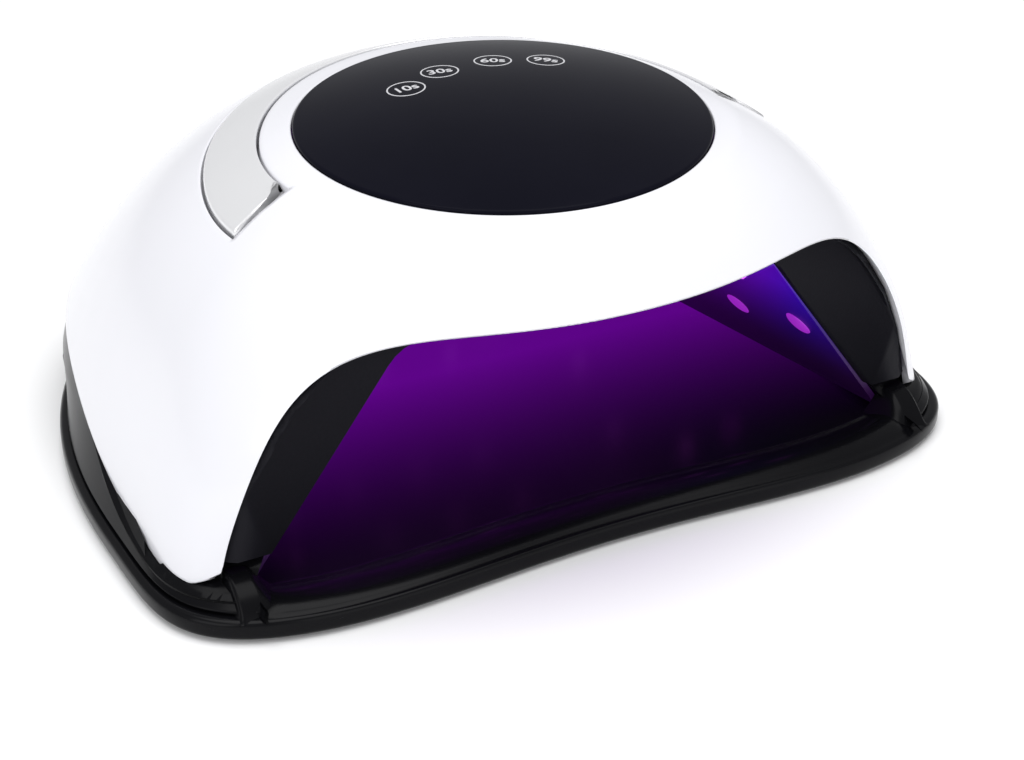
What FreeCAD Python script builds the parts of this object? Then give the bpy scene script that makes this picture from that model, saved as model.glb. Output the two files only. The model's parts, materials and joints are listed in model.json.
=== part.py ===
import FreeCAD, Part

"""Tabletop curing lamp for gel nail polish: a domed white cover over a hand cavity lined with
light-emitting beads, a touch panel on the crown, a folding carry handle behind it, and a tray that
the housing lifts off.

Frame: millimetres, +Z up, the hand enters along +Y, the origin is under the middle of the lamp on
the table. Every driving size is a cell of the sheet "Sizes"."""

import functools
import math
import os

V = FreeCAD.Vector
Rotation = FreeCAD.Rotation
Placement = FreeCAD.Placement
ORIGIN = V(0, 0, 0)
X_AXIS, Y_AXIS, Z_AXIS = V(1, 0, 0), V(0, 1, 0), V(0, 0, 1)

doc = FreeCAD.newDocument("nail_lamp")

# --------------------------------------------------------------------------------------------------
# Driving sizes
# --------------------------------------------------------------------------------------------------
SIZES = [
    # footprint of the tray: a squared oval, flatter in front than behind
    ("base_half_width", 118.6, "half the width of the tray"),
    ("base_centre_y", -37.0, "where the tray is widest"),
    ("base_front", 59.3, "from the widest line to the front edge"),
    ("base_rear", 140.0, "from the widest line to the rear edge"),
    ("base_front_squareness", 4.6, "exponent of the front half of the oval"),
    ("base_rear_squareness", 2.3, "exponent of the rear half of the oval"),
    ("front_hollow", 4.4, "how far the front edge bows back in the middle"),
    ("front_hollow_corner", 33.6, "from the tray's side to where that bow starts"),
    # tray
    ("foot_proud", 1.0, "rubber feet under the tray"),
    ("foot_radius", 7.0, "rubber foot"),
    ("foot_depth", 0.8, "rubber foot's recess"),
    ("foot_from_side", 40.6, "front foot from the tray's side"),
    ("foot_from_front", 30.3, "front foot from the tray's front"),
    ("rear_foot_from_side", 56.6, "rear foot from the tray's side"),
    ("foot_from_rear", 41.0, "rear foot from the tray's rear"),
    ("tray_thickness", 5.6, "tray from its underside to its top"),
    ("tray_round", 1.6, "round of the tray's outer edges"),
    ("lip_rise", 2.4, "front lip above the tray"),
    ("lip_width", 15.0, "front lip from front to back"),
    ("magnet_radius", 5.0, "holding magnet"),
    ("magnet_height", 3.0, "holding magnet"),
    ("magnet_inset", 14.0, "magnet inside the tray's outline"),
    ("plate_height", 1.2, "steel plate that the magnet pulls"),
    ("seat_gap", 0.8, "groove between tray and housing"),
    # dome of the top cover
    ("side_reveal", 4.6, "tray beyond the dome at its sides"),
    ("rear_reveal", 3.5, "tray beyond the dome at its rear"),
    ("dome_centre_y", -39.5, "centre line of the dome's sections"),
    ("foot_ahead", 8.5, "dome's foot ahead of the mouth"),
    ("visor_growth", 37.4, "visor ahead of the dome's foot"),
    ("dome_visor_share", 0.75, "height share where the visor is full"),
    ("dome_foot_z", 8.0, "height where the dome's formula starts"),
    ("dome_apex_z", 101.0, "height of the dome's virtual apex"),
    ("dome_rise_power", 2.31, "how long the flank stays upright"),
    ("dome_round_power", 2.44, "how round the shoulder is"),
    ("dome_front_squareness", 4.9, "exponent of the sections' front at the foot"),
    ("dome_rear_squareness", 2.5, "exponent of the sections' rear at the foot"),
    ("cover_wall", 2.2, "wall of the top cover"),
    ("shell_gap", 0.3, "clearance between shells that nest"),
    # lower edge of the top cover: low in front, rising in a soft step to the rear
    ("edge_front_z", 10.2, "height of the cover's edge in front"),
    ("edge_rise", 16.4, "how much higher the edge is behind"),
    ("edge_step_y", -24.0, "middle of the step"),
    ("edge_step_length", 14.0, "length scale of the step"),
    ("edge_tip_round", 7.0, "round of the cover's front tips"),
    ("tip_ahead", 1.0, "front of the tips' round ahead of the mouth"),
    # hand arch cut in the front of the cover
    ("cover_toe", 9.6, "cover beside the arch at its foot"),
    ("visor_depth", 25.9, "arch's top below the dome's apex"),
    ("arch_foot_z", 11.0, "height where the arch's formula ends"),
    ("arch_power", 6.2, "squareness of the arch"),
    ("arch_round_power", 0.91, "roundness of the arch's shoulder"),
    # mouth and cavity for the hand
    ("mouth_setback", 19.3, "cavity's mouth behind the tray's front edge"),
    ("brow", 9.1, "cavity ceiling at the mouth below the arch's top"),
    ("mouth_top_half", 53.0, "half the ceiling's width at the mouth"),
    ("bezel_leg", 9.0, "bezel between the arch's foot and the cavity"),
    ("rear_bay", 52.0, "cavity's rear wall to the tray's rear edge"),
    ("ceiling_drop", 12.0, "ceiling at the rear wall below that at the mouth"),
    ("cavity_taper", 19.0, "ceiling's half width lost towards the rear"),
    ("cavity_corner", 12.0, "round of the cavity's upper corners"),
    ("liner_wall", 1.6, "wall of the reflector"),
    ("bezel_wall", 2.4, "wall of the front bezel"),
    ("bezel_foot_z", 17.0, "lower end of the front bezel"),
    # lower frame
    ("frame_inset", 2.5, "frame's foot inside the tray's outline"),
    ("frame_floor", 2.4, "thickness of the frame's floor"),
    ("frame_wall", 4.9, "skirt of the frame with its upstand"),
    ("frame_mid_z", 19.5, "height of the toes' shoulder"),
    ("frame_top_z", 36.0, "upper end of the skirt's form"),
    ("frame_overlap", 5.0, "how far the skirt reaches up inside the cover"),
    ("toe_ahead", 1.5, "toes' shoulder ahead of the mouth"),
    ("screw_inset", 16.5, "cover screws inside the tray's outline"),
    ("screw_radius", 1.5, "cover screw"),
    ("screw_head", 2.7, "head of a cover screw"),
    ("screw_length", 11.8, "cover screw with its head"),
    ("post_radius", 3.6, "screw boss of the frame and post of the cover"),
    ("post_height", 10.0, "screw boss of the frame"),
    ("vent_width", 2.4, "slot of the rear vent"),
    ("vent_pitch", 5.0, "slot to slot"),
    ("vent_height", 8.0, "slot of the rear vent"),
    # touch panel
    ("panel_radius", 54.8, "radius of the touch panel"),
    ("panel_centre_y", -28.5, "centre of the panel and of the handle's curve"),
    ("panel_sink", 0.72, "ledge that carries the panel below the lowest skin round it"),
    ("panel_height", 4.2, "panel's side wall above its ledge"),
    ("panel_rise", 6.6, "crown of the panel above its side wall"),
    ("panel_wall", 2.2, "thickness of the panel"),
    ("panel_edge_round", 0.9, "round of the panel's rim"),
    ("panel_ledge", 3.6, "width of the ledge under the panel"),
    ("gasket_height", 0.8, "foam ring between panel and ledge"),
    # carry handle
    ("panel_collar", 9.4, "white ring between panel and handle"),
    ("handle_width", 14.1, "width of the handle"),
    ("handle_nose", 5.0, "handle's round nose about its pivot"),
    ("handle_gap", 0.7, "gap between handle and channel"),
    ("handle_proud", 0.5, "handle above the dome"),
    ("handle_skin", 1.5, "plated top of the handle"),
    ("handle_core", 2.0, "core of the handle"),
    ("channel_clearance", 0.6, "handle above the channel's floor"),
    ("channel_wall", 2.0, "wall of the channel"),
    ("pivot_ahead", 0.7, "handle's pivot axis ahead of the panel's centre"),
    ("pivot_depth", 2.7059, "handle's pivot axis below the dome's skin"),
    ("pin_radius", 1.2, "pivot pin"),
    ("pin_length", 8.4, "pivot pin"),
    ("pin_clearance", 0.06, "radial clearance of the pin in the handle"),
    ("knuckle_radius", 3.2, "eye of the handle round the pin"),
    ("knuckle_width", 4.0, "eye of the handle round the pin"),
    ("boss_radius", 3.0, "boss of the cover round the pin"),
    # light-emitting beads and boards
    ("bead_radius", 2.5, "bead"),
    ("bead_clearance", 0.15, "bead in its hole"),
    ("bead_proud", 0.9, "bead's dome inside the reflector"),
    ("bead_margin", 25.0, "first and last bead from the cavity's ends"),
    ("bead_side_margin", 12.0, "outer row of beads from the ceiling's edge"),
    ("bead_high", 20.0, "upper beads of a side wall below its top"),
    ("bead_low", 30.0, "lower beads of a side wall below its top"),
    ("board_wall", 1.2, "circuit boards"),
    ("board_margin", 13.0, "boards from the cavity's ends and top"),
    ("board_side_margin", 5.0, "top board from the ceiling's edge"),
    ("board_width", 26.0, "side boards"),
    ("rear_board_half", 32.0, "rear board"),
    ("rear_board_low", 17.0, "rear board above the frame's floor"),
    ("rear_board_width", 14.0, "rear board"),
    ("rear_bead_pitch", 24.0, "beads of the rear wall"),
    # under the panel
    ("key_outer_x", 20.7, "outer touch keys"),
    ("key_outer_y", 15.7, "outer touch keys"),
    ("key_inner_x", 7.6, "inner touch keys"),
    ("key_inner_y", 20.3, "inner touch keys"),
    ("spring_radius", 3.6, "sensing springs"),
    ("spring_wire", 0.8, "sensing springs"),
    ("touch_board_drop", 1.8, "touch board below the ledge's top"),
    ("display_length", 34.0, "display"),
    ("display_width", 16.0, "display"),
    ("display_height", 5.6, "display"),
    ("display_ahead", 14.0, "display ahead of the panel's centre"),
    # rear bay
    ("control_length", 70.0, "control board"),
    ("control_width", 24.0, "control board"),
    ("control_gap", 6.0, "control board behind the cavity's rear wall"),
    ("buzzer_radius", 6.0, "buzzer"),
    ("buzzer_height", 7.0, "buzzer"),
    ("buzzer_x", -24.0, "buzzer"),
    ("sink_x", 14.0, "heat sink"),
    ("sink_length", 16.0, "heat sink"),
    ("sink_width", 12.0, "heat sink"),
    ("sink_height", 14.0, "heat sink"),
    # inlet
    ("jack_bore", 3.2, "bore of the power inlet"),
    ("jack_pin", 1.0, "centre pin of the power inlet"),
    ("jack_collar", 4.2, "collar of the power inlet"),
    ("jack_width", 9.4, "power inlet"),
    ("jack_height", 11.0, "power inlet"),
    ("jack_length", 14.0, "power inlet"),
    ("jack_z", 17.0, "height of the inlet's axis"),
]

sheet = doc.addObject("Spreadsheet::Sheet", "Sizes")
for row, (alias, value, note) in enumerate(SIZES, start=1):
    sheet.set(f"A{row}", note)
    sheet.set(f"B{row}", str(value))
    sheet.setAlias(f"B{row}", alias)
doc.recompute()


def size(alias):
    """Value of a driving size, read from the sheet."""
    return float(sheet.get(alias))


# --------------------------------------------------------------------------------------------------
# Levels and places that several pieces share
# --------------------------------------------------------------------------------------------------
TRAY_TOP = size("foot_proud") + size("tray_thickness")
FRAME_BOTTOM = TRAY_TOP + size("seat_gap")
FLOOR_TOP = FRAME_BOTTOM + size("frame_floor")
TRAY_FRONT_Y = size("base_centre_y") - size("base_front")
TRAY_REAR_Y = size("base_centre_y") + size("base_rear")
MOUTH_Y = TRAY_FRONT_Y + size("mouth_setback")
CAVITY_REAR_Y = TRAY_REAR_Y - size("rear_bay")
CAVITY_LENGTH = CAVITY_REAR_Y - MOUTH_Y
DOME_HALF = size("base_half_width") - size("side_reveal")
DOME_REAR = TRAY_REAR_Y - size("rear_reveal") - size("dome_centre_y")
DOME_FRONT = size("dome_centre_y") - MOUTH_Y + size("foot_ahead")
ARCH_HALF = DOME_HALF - size("cover_toe")
ARCH_TOP_Z = size("dome_apex_z") - size("visor_depth")
MOUTH_TOP_Z = ARCH_TOP_Z - size("brow")
REAR_TOP_Z = MOUTH_TOP_Z - size("ceiling_drop")
REAR_TOP_HALF = size("mouth_top_half") - size("cavity_taper")
MOUTH_FOOT_HALF = ARCH_HALF - size("bezel_leg")
SIDE_SLOPE = (MOUTH_FOOT_HALF - size("mouth_top_half")) / (MOUTH_TOP_Z - TRAY_TOP)
PANEL_Y = size("panel_centre_y")
HANDLE_INNER = size("panel_radius") + size("panel_collar")
HANDLE_OUTER = HANDLE_INNER + size("handle_width")
SIDES = {"left": -1, "right": 1}
FAR = 400.0
parts = []


def keep(obj, label):
    """Give an object its label and list it as a sub-part."""
    obj.Label = label
    parts.append(obj)
    return obj


def keep_shape(label, shape):
    """Sub-part whose shape comes from Part's own functions."""
    obj = doc.addObject("Part::Feature", label)
    obj.Shape = shape
    obj.Placement = shape.Placement
    return keep(obj, label)


def keep_group(label, members):
    """Sub-part of several identical solids."""
    obj = doc.addObject("Part::Compound", label)
    obj.Links = members
    obj.Placement = Placement()
    return keep(obj, label)


def primitive(kind, name, place, **expressions):
    """Part primitive with its sizes bound to the sheet."""
    obj = doc.addObject(f"Part::{kind}", name)
    for prop, expression in expressions.items():
        obj.setExpression(prop, expression)
    obj.Placement = place
    return obj


def at(x, y, z, rotation=None):
    """Placement at a point."""
    return Placement(V(x, y, z), rotation or Rotation())


# --------------------------------------------------------------------------------------------------
# Outlines and solids that the shells share
# --------------------------------------------------------------------------------------------------
# directions of the points on every level curve, in degrees on the right: closer at the front corner
RIGHT_TURNS = (-90, -68, -51, -42, -35, -28, -19, -5, 14, 34, 56, 76)
TURNS = [math.radians(d) for d in RIGHT_TURNS + (90,) + tuple(180 - d for d in reversed(RIGHT_TURNS[1:]))]


def oval_point(angle, half_width, front, rear, front_power, rear_power, centre_y):
    """Point of |x/a|^n + |y/b|^n = 1 in a direction, with its own b and n before and behind."""
    c, s = math.cos(angle), math.sin(angle)
    reach, power = (front, front_power) if s < 0 else (rear, rear_power)
    radius = (abs(c / half_width) ** power + abs(s / reach) ** power) ** (-1 / power)
    return radius * c, centre_y + radius * s


def closed_curve(points):
    """Smooth closed wire through points; like wires share their parameters, so lofts stay light."""
    count = len(points)
    curve = Part.BSplineCurve()
    curve.interpolate(Points=points, PeriodicFlag=True, Parameters=[i / count for i in range(count + 1)])
    return Part.Wire(curve.toShape())


def squared_oval(half_width, front, rear, front_power, rear_power, centre_y, z):
    """Closed level curve of the oval's formula at height z."""
    places = [oval_point(a, half_width, front, rear, front_power, rear_power, centre_y) for a in TURNS]
    return closed_curve([V(x, y, z) for x, y in places])


def outline_point(angle, inset):
    """Point of the tray's outline in a direction, pulled in by inset; its front bows back."""
    x, y = oval_point(
        angle,
        size("base_half_width") - inset,
        size("base_front") - inset,
        size("base_rear") - inset,
        size("base_front_squareness"),
        size("base_rear_squareness"),
        size("base_centre_y"),
    )
    bow = size("base_half_width") - size("front_hollow_corner")
    if y < size("base_centre_y") and abs(x) < bow:
        y += size("front_hollow") * math.cos(math.pi * x / (2 * bow)) ** 2
    return x, y


def outline_x(y, inset):
    """Half the outline's width at y, pulled in by inset."""
    behind = y > size("base_centre_y")
    share = abs(y - size("base_centre_y")) / size("base_rear" if behind else "base_front")
    power = size("base_rear_squareness" if behind else "base_front_squareness")
    return size("base_half_width") * (1 - share**power) ** (1 / power) - inset


RIGHT_BASE_TURNS = (-90, -75, -60, -50, -43, -37, -31.5, -27, -23, -17, -8, 4, 17, 31, 46, 61, 76)
BASE_TURNS = [math.radians(d) for d in RIGHT_BASE_TURNS + (90,) + tuple(180 - d for d in RIGHT_BASE_TURNS[:0:-1])]


def base_loop(inset, z):
    """Footprint of the lamp at height z, pulled in by inset."""
    places = [outline_point(angle, inset) for angle in BASE_TURNS]
    return closed_curve([V(x, y, z) for x, y in places])


def dome_section(v):
    """Scale, front reach, front power and rear power of the dome at height share v."""
    scale = (1 - v ** size("dome_rise_power")) ** (1 / size("dome_round_power"))
    share = min(v / size("dome_visor_share"), 1.0)
    bulge = share * share * (3 - 2 * share)
    front_power = 2 + (size("dome_front_squareness") - 2) * (1 - v) ** 2.9
    rear_power = 2 + (size("dome_rear_squareness") - 2) * (1 - v**3)
    return scale, DOME_FRONT + size("visor_growth") * bulge, front_power, rear_power


def skin_z(x, y):
    """Height of the dome's skin above a point of the plan, found by halving from the shoulder up."""
    low, high = 0.55, 0.9999
    for _ in range(50):
        v = (low + high) / 2
        scale, reach, front_power, rear_power = dome_section(v)
        behind = y > size("dome_centre_y")
        b, n = (DOME_REAR * scale, rear_power) if behind else (reach * scale, front_power)
        over = abs(x / (DOME_HALF * scale)) ** n + abs((y - size("dome_centre_y")) / b) ** n > 1
        low, high = (low, v) if over else (v, high)
    return size("dome_foot_z") + low * (size("dome_apex_z") - size("dome_foot_z"))


PANEL_OPENING = size("panel_radius") + size("shell_gap")
LOWEST_SKIN = min(
    skin_z(PANEL_OPENING * math.cos(a), PANEL_Y + PANEL_OPENING * math.sin(a))
    for a in [math.pi * i / 18 for i in range(36)]
)
SEAT_Z = LOWEST_SKIN - size("panel_sink")
RIM_Z = SEAT_Z + size("panel_height")
CROWN_Z = RIM_Z + size("panel_rise")
PIVOT_Y = PANEL_Y - size("pivot_ahead")
PIVOT = V(0, PIVOT_Y, skin_z(HANDLE_INNER + size("knuckle_width") / 2, PIVOT_Y) - size("pivot_depth"))
HANDLE_FRONT = PIVOT_Y - size("handle_nose")
WELL_RADIUS = 9.8


DOME_SHARES = (0.0, 0.13, 0.27, 0.42, 0.57, 0.70, 0.81, 0.89, 0.95)


@functools.cache
def dome(inset, drop=0.0, plain=True):
    """Solid dome whose skin lies inset inside the top cover's; drop lengthens its foot downwards.

    A plain one, for hidden faces, is made of ruled bands; the others are smooth all over."""
    foot, apex = size("dome_foot_z"), size("dome_apex_z") - inset
    loops = []
    for v in DOME_SHARES:
        scale, reach, front_power, rear_power = dome_section(v)
        loops.append(
            squared_oval(
                (DOME_HALF - inset) * scale,
                (reach - inset) * scale,
                (DOME_REAR - inset) * scale,
                front_power,
                rear_power,
                size("dome_centre_y"),
                foot + v * (apex - foot),
            )
        )
    solid = Part.makeLoft(loops, True, plain)
    if drop:
        solid = solid.fuse(Part.Face(loops[0]).extrude(V(0, 0, -drop)))
    return solid


def side_prism(points_up, low, high_x=FAR):
    """Prism along X whose section lies between a curve z(y) and a low line."""
    curve = Part.BSplineCurve()
    curve.interpolate(Points=points_up)
    first, last = points_up[0], points_up[-1]
    ends = [last, V(0, last.y, low), V(0, first.y, low), first]
    edges = [curve.toShape()] + [Part.LineSegment(a, b).toShape() for a, b in zip(ends, ends[1:])]
    face = Part.Face(Part.Wire(edges))
    face.translate(V(-high_x / 2, 0, 0))
    return face.extrude(V(high_x, 0, 0))


def edge_z(y):
    """Height of the cover's lower edge at y, without the tips' round."""
    step = 0.5 + 0.5 * math.tanh((y - size("edge_step_y")) / (2 * size("edge_step_length")))
    return size("edge_front_z") + size("edge_rise") * step


def below_edge(lift):
    """Everything under the cover's lower edge, raised by lift."""
    middle, step = size("edge_step_y"), size("edge_step_length")
    ys = [middle + step * k for k in (-12, -7, -4.5, -3, -2, -1, 0, 1, 2, 3, 4.5, 7, 12, 18)]
    return side_prism([V(0, y, edge_z(y) + lift) for y in ys], -60)


def tip_round():
    """What the cover's tips lose to their round, seen from the side."""
    radius, front = size("edge_tip_round"), MOUTH_Y - size("tip_ahead")
    low = edge_z(front + radius) - 0.02
    heel = V(0, front + radius, low)
    knee = V(0, front + radius * (1 - math.sqrt(0.5)), low + radius * (1 - math.sqrt(0.5)))
    toe = V(0, front, low + radius)
    away = [toe, V(0, front - 60, low + radius), V(0, front - 60, low - 20), V(0, heel.y, low - 20), heel]
    edges = [Part.Arc(heel, knee, toe).toShape()]
    edges += [Part.LineSegment(a, b).toShape() for a, b in zip(away, away[1:])]
    face = Part.Face(Part.Wire(edges))
    face.translate(V(-FAR / 2, 0, 0))
    return face.extrude(V(FAR, 0, 0))


ARCH_SHARES = (0.0, 0.25, 0.45, 0.6, 0.72, 0.82, 0.89, 0.94, 0.975, 1.0)


def arch_prism(inset, y_from, y_to):
    """Prism along Y of the hand arch, made smaller by inset, from below the tray up."""
    half = ARCH_HALF - inset
    rise = ARCH_TOP_Z - inset - size("arch_foot_z")
    right = []
    for share in ARCH_SHARES:
        up = (1 - share ** size("arch_power")) ** (1 / size("arch_round_power"))
        right.append(V(share * half, y_from, size("arch_foot_z") + rise * up))
    left = [V(-p.x, p.y, p.z) for p in reversed(right[1:])]
    curve = Part.BSplineCurve()
    curve.interpolate(Points=left + right)
    low = [right[-1], V(half, y_from, -20), V(-half, y_from, -20), left[0]]
    edges = [curve.toShape()] + [Part.LineSegment(a, b).toShape() for a, b in zip(low, low[1:])]
    return Part.Face(Part.Wire(edges)).extrude(V(0, y_to - y_from, 0))


def block(x0, x1, y0, y1, z0, z1):
    """Box between two corners."""
    return Part.makeBox(x1 - x0, y1 - y0, z1 - z0, V(x0, y0, z0))


def ring(inner, outer, z0, z1, y=None):
    """Flat ring round the panel's axis."""
    centre = V(0, PANEL_Y if y is None else y, z0)
    body = Part.makeCylinder(outer, z1 - z0, centre)
    return body.cut(Part.makeCylinder(inner, z1 - z0, centre)) if inner else body


def handle_band(grow_in, grow_out, grow_front):
    """Prism of the handle's plan: a ring that is open in front."""
    band = ring(HANDLE_INNER - grow_in, HANDLE_OUTER + grow_out, 40, 130)
    front = HANDLE_FRONT - grow_front
    return band.common(block(-FAR / 2, FAR / 2, front, FAR, 0, 200))


# --------------------------------------------------------------------------------------------------
# The hand cavity: slanted planes
# --------------------------------------------------------------------------------------------------
CORNER_FACETS = 4


def cavity_section(y, grow, foot_z):
    """Outline of the cavity at y, larger by grow: feet, side lines, faceted corners and ceiling."""
    share = (y - MOUTH_Y) / CAVITY_LENGTH
    level = MOUTH_TOP_Z - size("ceiling_drop") * share
    half = size("mouth_top_half") - size("cavity_taper") * share
    top_z = level + grow
    top_half = half - grow * SIDE_SLOPE + grow * math.hypot(1, SIDE_SLOPE)
    turn = math.atan2(1, SIDE_SLOPE)
    radius = size("cavity_corner") + grow
    chord = 2 * radius * math.sin(turn / (2 * CORNER_FACETS))
    x, z = top_half - radius * math.tan(turn / 2), top_z
    right = [V(x, y, z)]
    for k in range(CORNER_FACETS):
        heading = turn * (k + 0.5) / CORNER_FACETS
        x, z = x + chord * math.cos(heading), z - chord * math.sin(heading)
        right.append(V(x, y, z))
    right.append(V(x + (z - foot_z) * SIDE_SLOPE, y, foot_z))
    return [V(-p.x, p.y, p.z) for p in reversed(right)] + right


def cavity(grow, y_front, foot_z):
    """Hand cavity as a solid of flat faces, larger by grow, from y_front to the rear wall."""
    front, rear = (cavity_section(y, grow, foot_z) for y in (y_front, CAVITY_REAR_Y + grow))
    faces = [Part.Face(Part.makePolygon(outline + outline[:1])) for outline in (front, rear)]
    for i in range(len(front)):
        j = (i + 1) % len(front)
        faces.append(Part.Face(Part.makePolygon([front[i], front[j], rear[j], rear[i], front[i]])))
    return Part.Solid(Part.Shell(faces))


class Wall:
    """One plane of the cavity: a point on it, two directions along it and its normal inwards."""

    def __init__(self, name, corner, along_end, up_end, inside):
        self.name = name
        self.u = (along_end - corner).normalize()
        across = up_end - corner
        across = across - self.u * across.dot(self.u)
        self.v = across.normalize()
        normal = self.u.cross(self.v)
        self.n = normal if normal.dot(inside - corner) > 0 else normal * -1
        self.corner = corner
        self.length = (along_end - corner).Length

    def point(self, along, up, out=0.0):
        """Point on the wall; out is measured into the cavity."""
        return self.corner + self.u * along + self.v * up + self.n * out

    def place(self, along, up, out=0.0):
        """Placement whose Z axis is the wall's normal and whose X axis runs along it."""
        turn = Rotation(self.u, self.n.cross(self.u), self.n, "ZXY")
        return Placement(self.point(along, up, out), turn)


def cavity_walls():
    """Ceiling, side walls and rear wall of the cavity."""
    inside = V(0, 0, 25)
    drop = 40.0
    front, rear = V(0, MOUTH_Y, MOUTH_TOP_Z), V(0, CAVITY_REAR_Y, REAR_TOP_Z)
    foot = V(0, CAVITY_REAR_Y, FLOOR_TOP)
    walls = {
        "top": Wall("top", front, rear, front + V(30, 0, 0), inside),
        "rear": Wall("rear", foot, foot + V(30, 0, 0), foot + V(0, 0, 30), inside),
    }
    for name, side in SIDES.items():
        corner = V(side * size("mouth_top_half"), MOUTH_Y, MOUTH_TOP_Z)
        end = V(side * REAR_TOP_HALF, CAVITY_REAR_Y, REAR_TOP_Z)
        lower = corner + V(side * drop * SIDE_SLOPE, 0, -drop)
        walls[name] = Wall(name, corner, end, lower, inside)
    return walls


WALLS = cavity_walls()



def evenly(start, stop, count):
    """Places from start to stop at one pitch."""
    return [start + (stop - start) * i / (count - 1) for i in range(count)]


# Beads by wall: distance along the wall from the mouth (or from the middle) and down (or across) it
ALONG = evenly(size("bead_margin"), CAVITY_LENGTH - size("bead_margin"), 4)
ACROSS = REAR_TOP_HALF - size("bead_side_margin")
SIDE_BEADS = list(zip(ALONG, (size("bead_high"), size("bead_low")) * 2))
REAR_UP = size("rear_board_low") + size("rear_board_width") / 2
BEADS = {
    "top": [(along, across) for along in ALONG for across in (-ACROSS, 0, ACROSS)],
    "left": SIDE_BEADS,
    "right": SIDE_BEADS,
    "rear": [(k * size("rear_bead_pitch"), REAR_UP) for k in (-1, 0, 1)],
}
# Boards by wall: start and length along it, start and width across it
BOARD_HALF = REAR_TOP_HALF - size("board_side_margin")
BOARD_SPAN = (size("board_margin"), CAVITY_LENGTH - 2 * size("board_margin"))
BOARDS = {
    "top": BOARD_SPAN + (-BOARD_HALF, 2 * BOARD_HALF),
    "left": BOARD_SPAN + (size("board_margin"), size("board_width")),
    "right": BOARD_SPAN + (size("board_margin"), size("board_width")),
    "rear": (
        -size("rear_board_half"),
        2 * size("rear_board_half"),
        size("rear_board_low"),
        size("rear_board_width"),
    ),
}


# --------------------------------------------------------------------------------------------------
# Tray
# --------------------------------------------------------------------------------------------------
FOOT_PLACES = []
for side in SIDES.values():
    for from_side, y in (
        (size("foot_from_side"), TRAY_FRONT_Y + size("foot_from_front")),
        (size("rear_foot_from_side"), TRAY_REAR_Y - size("foot_from_rear")),
    ):
        FOOT_PLACES.append((side * (size("base_half_width") - from_side), y))
MAGNET_PLACES = [
    (side * outline_x(y, size("magnet_inset")), y)
    for side in SIDES.values()
    for y in (MOUTH_Y + 5 * size("magnet_radius"), CAVITY_REAR_Y + size("magnet_radius") + 2 * size("liner_wall"))
]


def front_lip():
    """Front lip: a shallow crest that follows the tray's bowed front edge, in ruled strips."""
    width, rise = size("lip_width"), size("lip_rise")
    profile = [(0.0, -1.5), (0.08, 0.35), (0.25, 0.85), (0.42, 1.0), (0.65, 0.8), (1.0, -1.5)]
    half = MOUTH_FOOT_HALF - 1.0
    xs = [half * k / 6 for k in range(-6, 7)]
    bow = size("base_half_width") - size("front_hollow_corner")
    sections = []
    for x in xs:
        share = abs(x / size("base_half_width")) ** size("base_front_squareness")
        reach = size("base_front") * (1 - share) ** (1 / size("base_front_squareness"))
        hollow = size("front_hollow") * math.cos(math.pi * x / (2 * bow)) ** 2 if abs(x) < bow else 0
        front = size("base_centre_y") - reach + hollow + size("tray_round")
        points = [V(x, front + width * along, TRAY_TOP + (rise * up if up > 0 else up)) for along, up in profile]
        sections.append(Part.makePolygon(points + points[:1]))
    return Part.makeLoft(sections, True, True)


def rounded_slab(low, high, soft, inset=0.0):
    """Slab of the footprint from low to high whose edges are rounded by soft, in ruled strips."""
    steps = [(soft, low), (0.29 * soft, low + 0.29 * soft), (0, low + soft)]
    steps += [(0, high - soft), (0.29 * soft, high - 0.29 * soft), (soft, high)]
    return Part.makeLoft([base_loop(inset + back, z) for back, z in steps], True, True)


def make_tray():
    """Tray with rounded edges, a front lip, recesses for its feet and pockets for its magnets."""
    body = rounded_slab(size("foot_proud"), TRAY_TOP, size("tray_round"))
    body = body.fuse(front_lip())
    depth = size("foot_proud") + size("foot_depth")
    low = TRAY_TOP - size("magnet_height")
    recesses = [Part.makeCylinder(size("foot_radius"), depth, V(x, y, 0)) for x, y in FOOT_PLACES]
    recesses += [Part.makeCylinder(size("magnet_radius"), 20, V(x, y, low)) for x, y in MAGNET_PLACES]
    keep_shape("base_tray", largest(body.cut(recesses)))


def make_feet():
    """Rubber feet, pressed into the tray."""
    height = "Sizes.foot_proud + Sizes.foot_depth"
    feet = [
        primitive("Cylinder", f"foot_{i}", at(x, y, 0), Radius="Sizes.foot_radius", Height=height)
        for i, (x, y) in enumerate(FOOT_PLACES)
    ]
    keep_group("tray_feet", feet)


def make_magnets():
    """Magnets in the tray and the steel plates above them in the frame's floor."""
    low = TRAY_TOP - size("magnet_height")
    magnets = [
        primitive(
            "Cylinder", f"magnet_{i}", at(x, y, low), Radius="Sizes.magnet_radius", Height="Sizes.magnet_height"
        )
        for i, (x, y) in enumerate(MAGNET_PLACES)
    ]
    plates = [
        primitive(
            "Cylinder", f"plate_{i}", at(x, y, FRAME_BOTTOM), Radius="Sizes.magnet_radius", Height="Sizes.plate_height"
        )
        for i, (x, y) in enumerate(MAGNET_PLACES)
    ]
    keep_group("tray_magnets", magnets)
    keep_group("catch_plates", plates)


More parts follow.
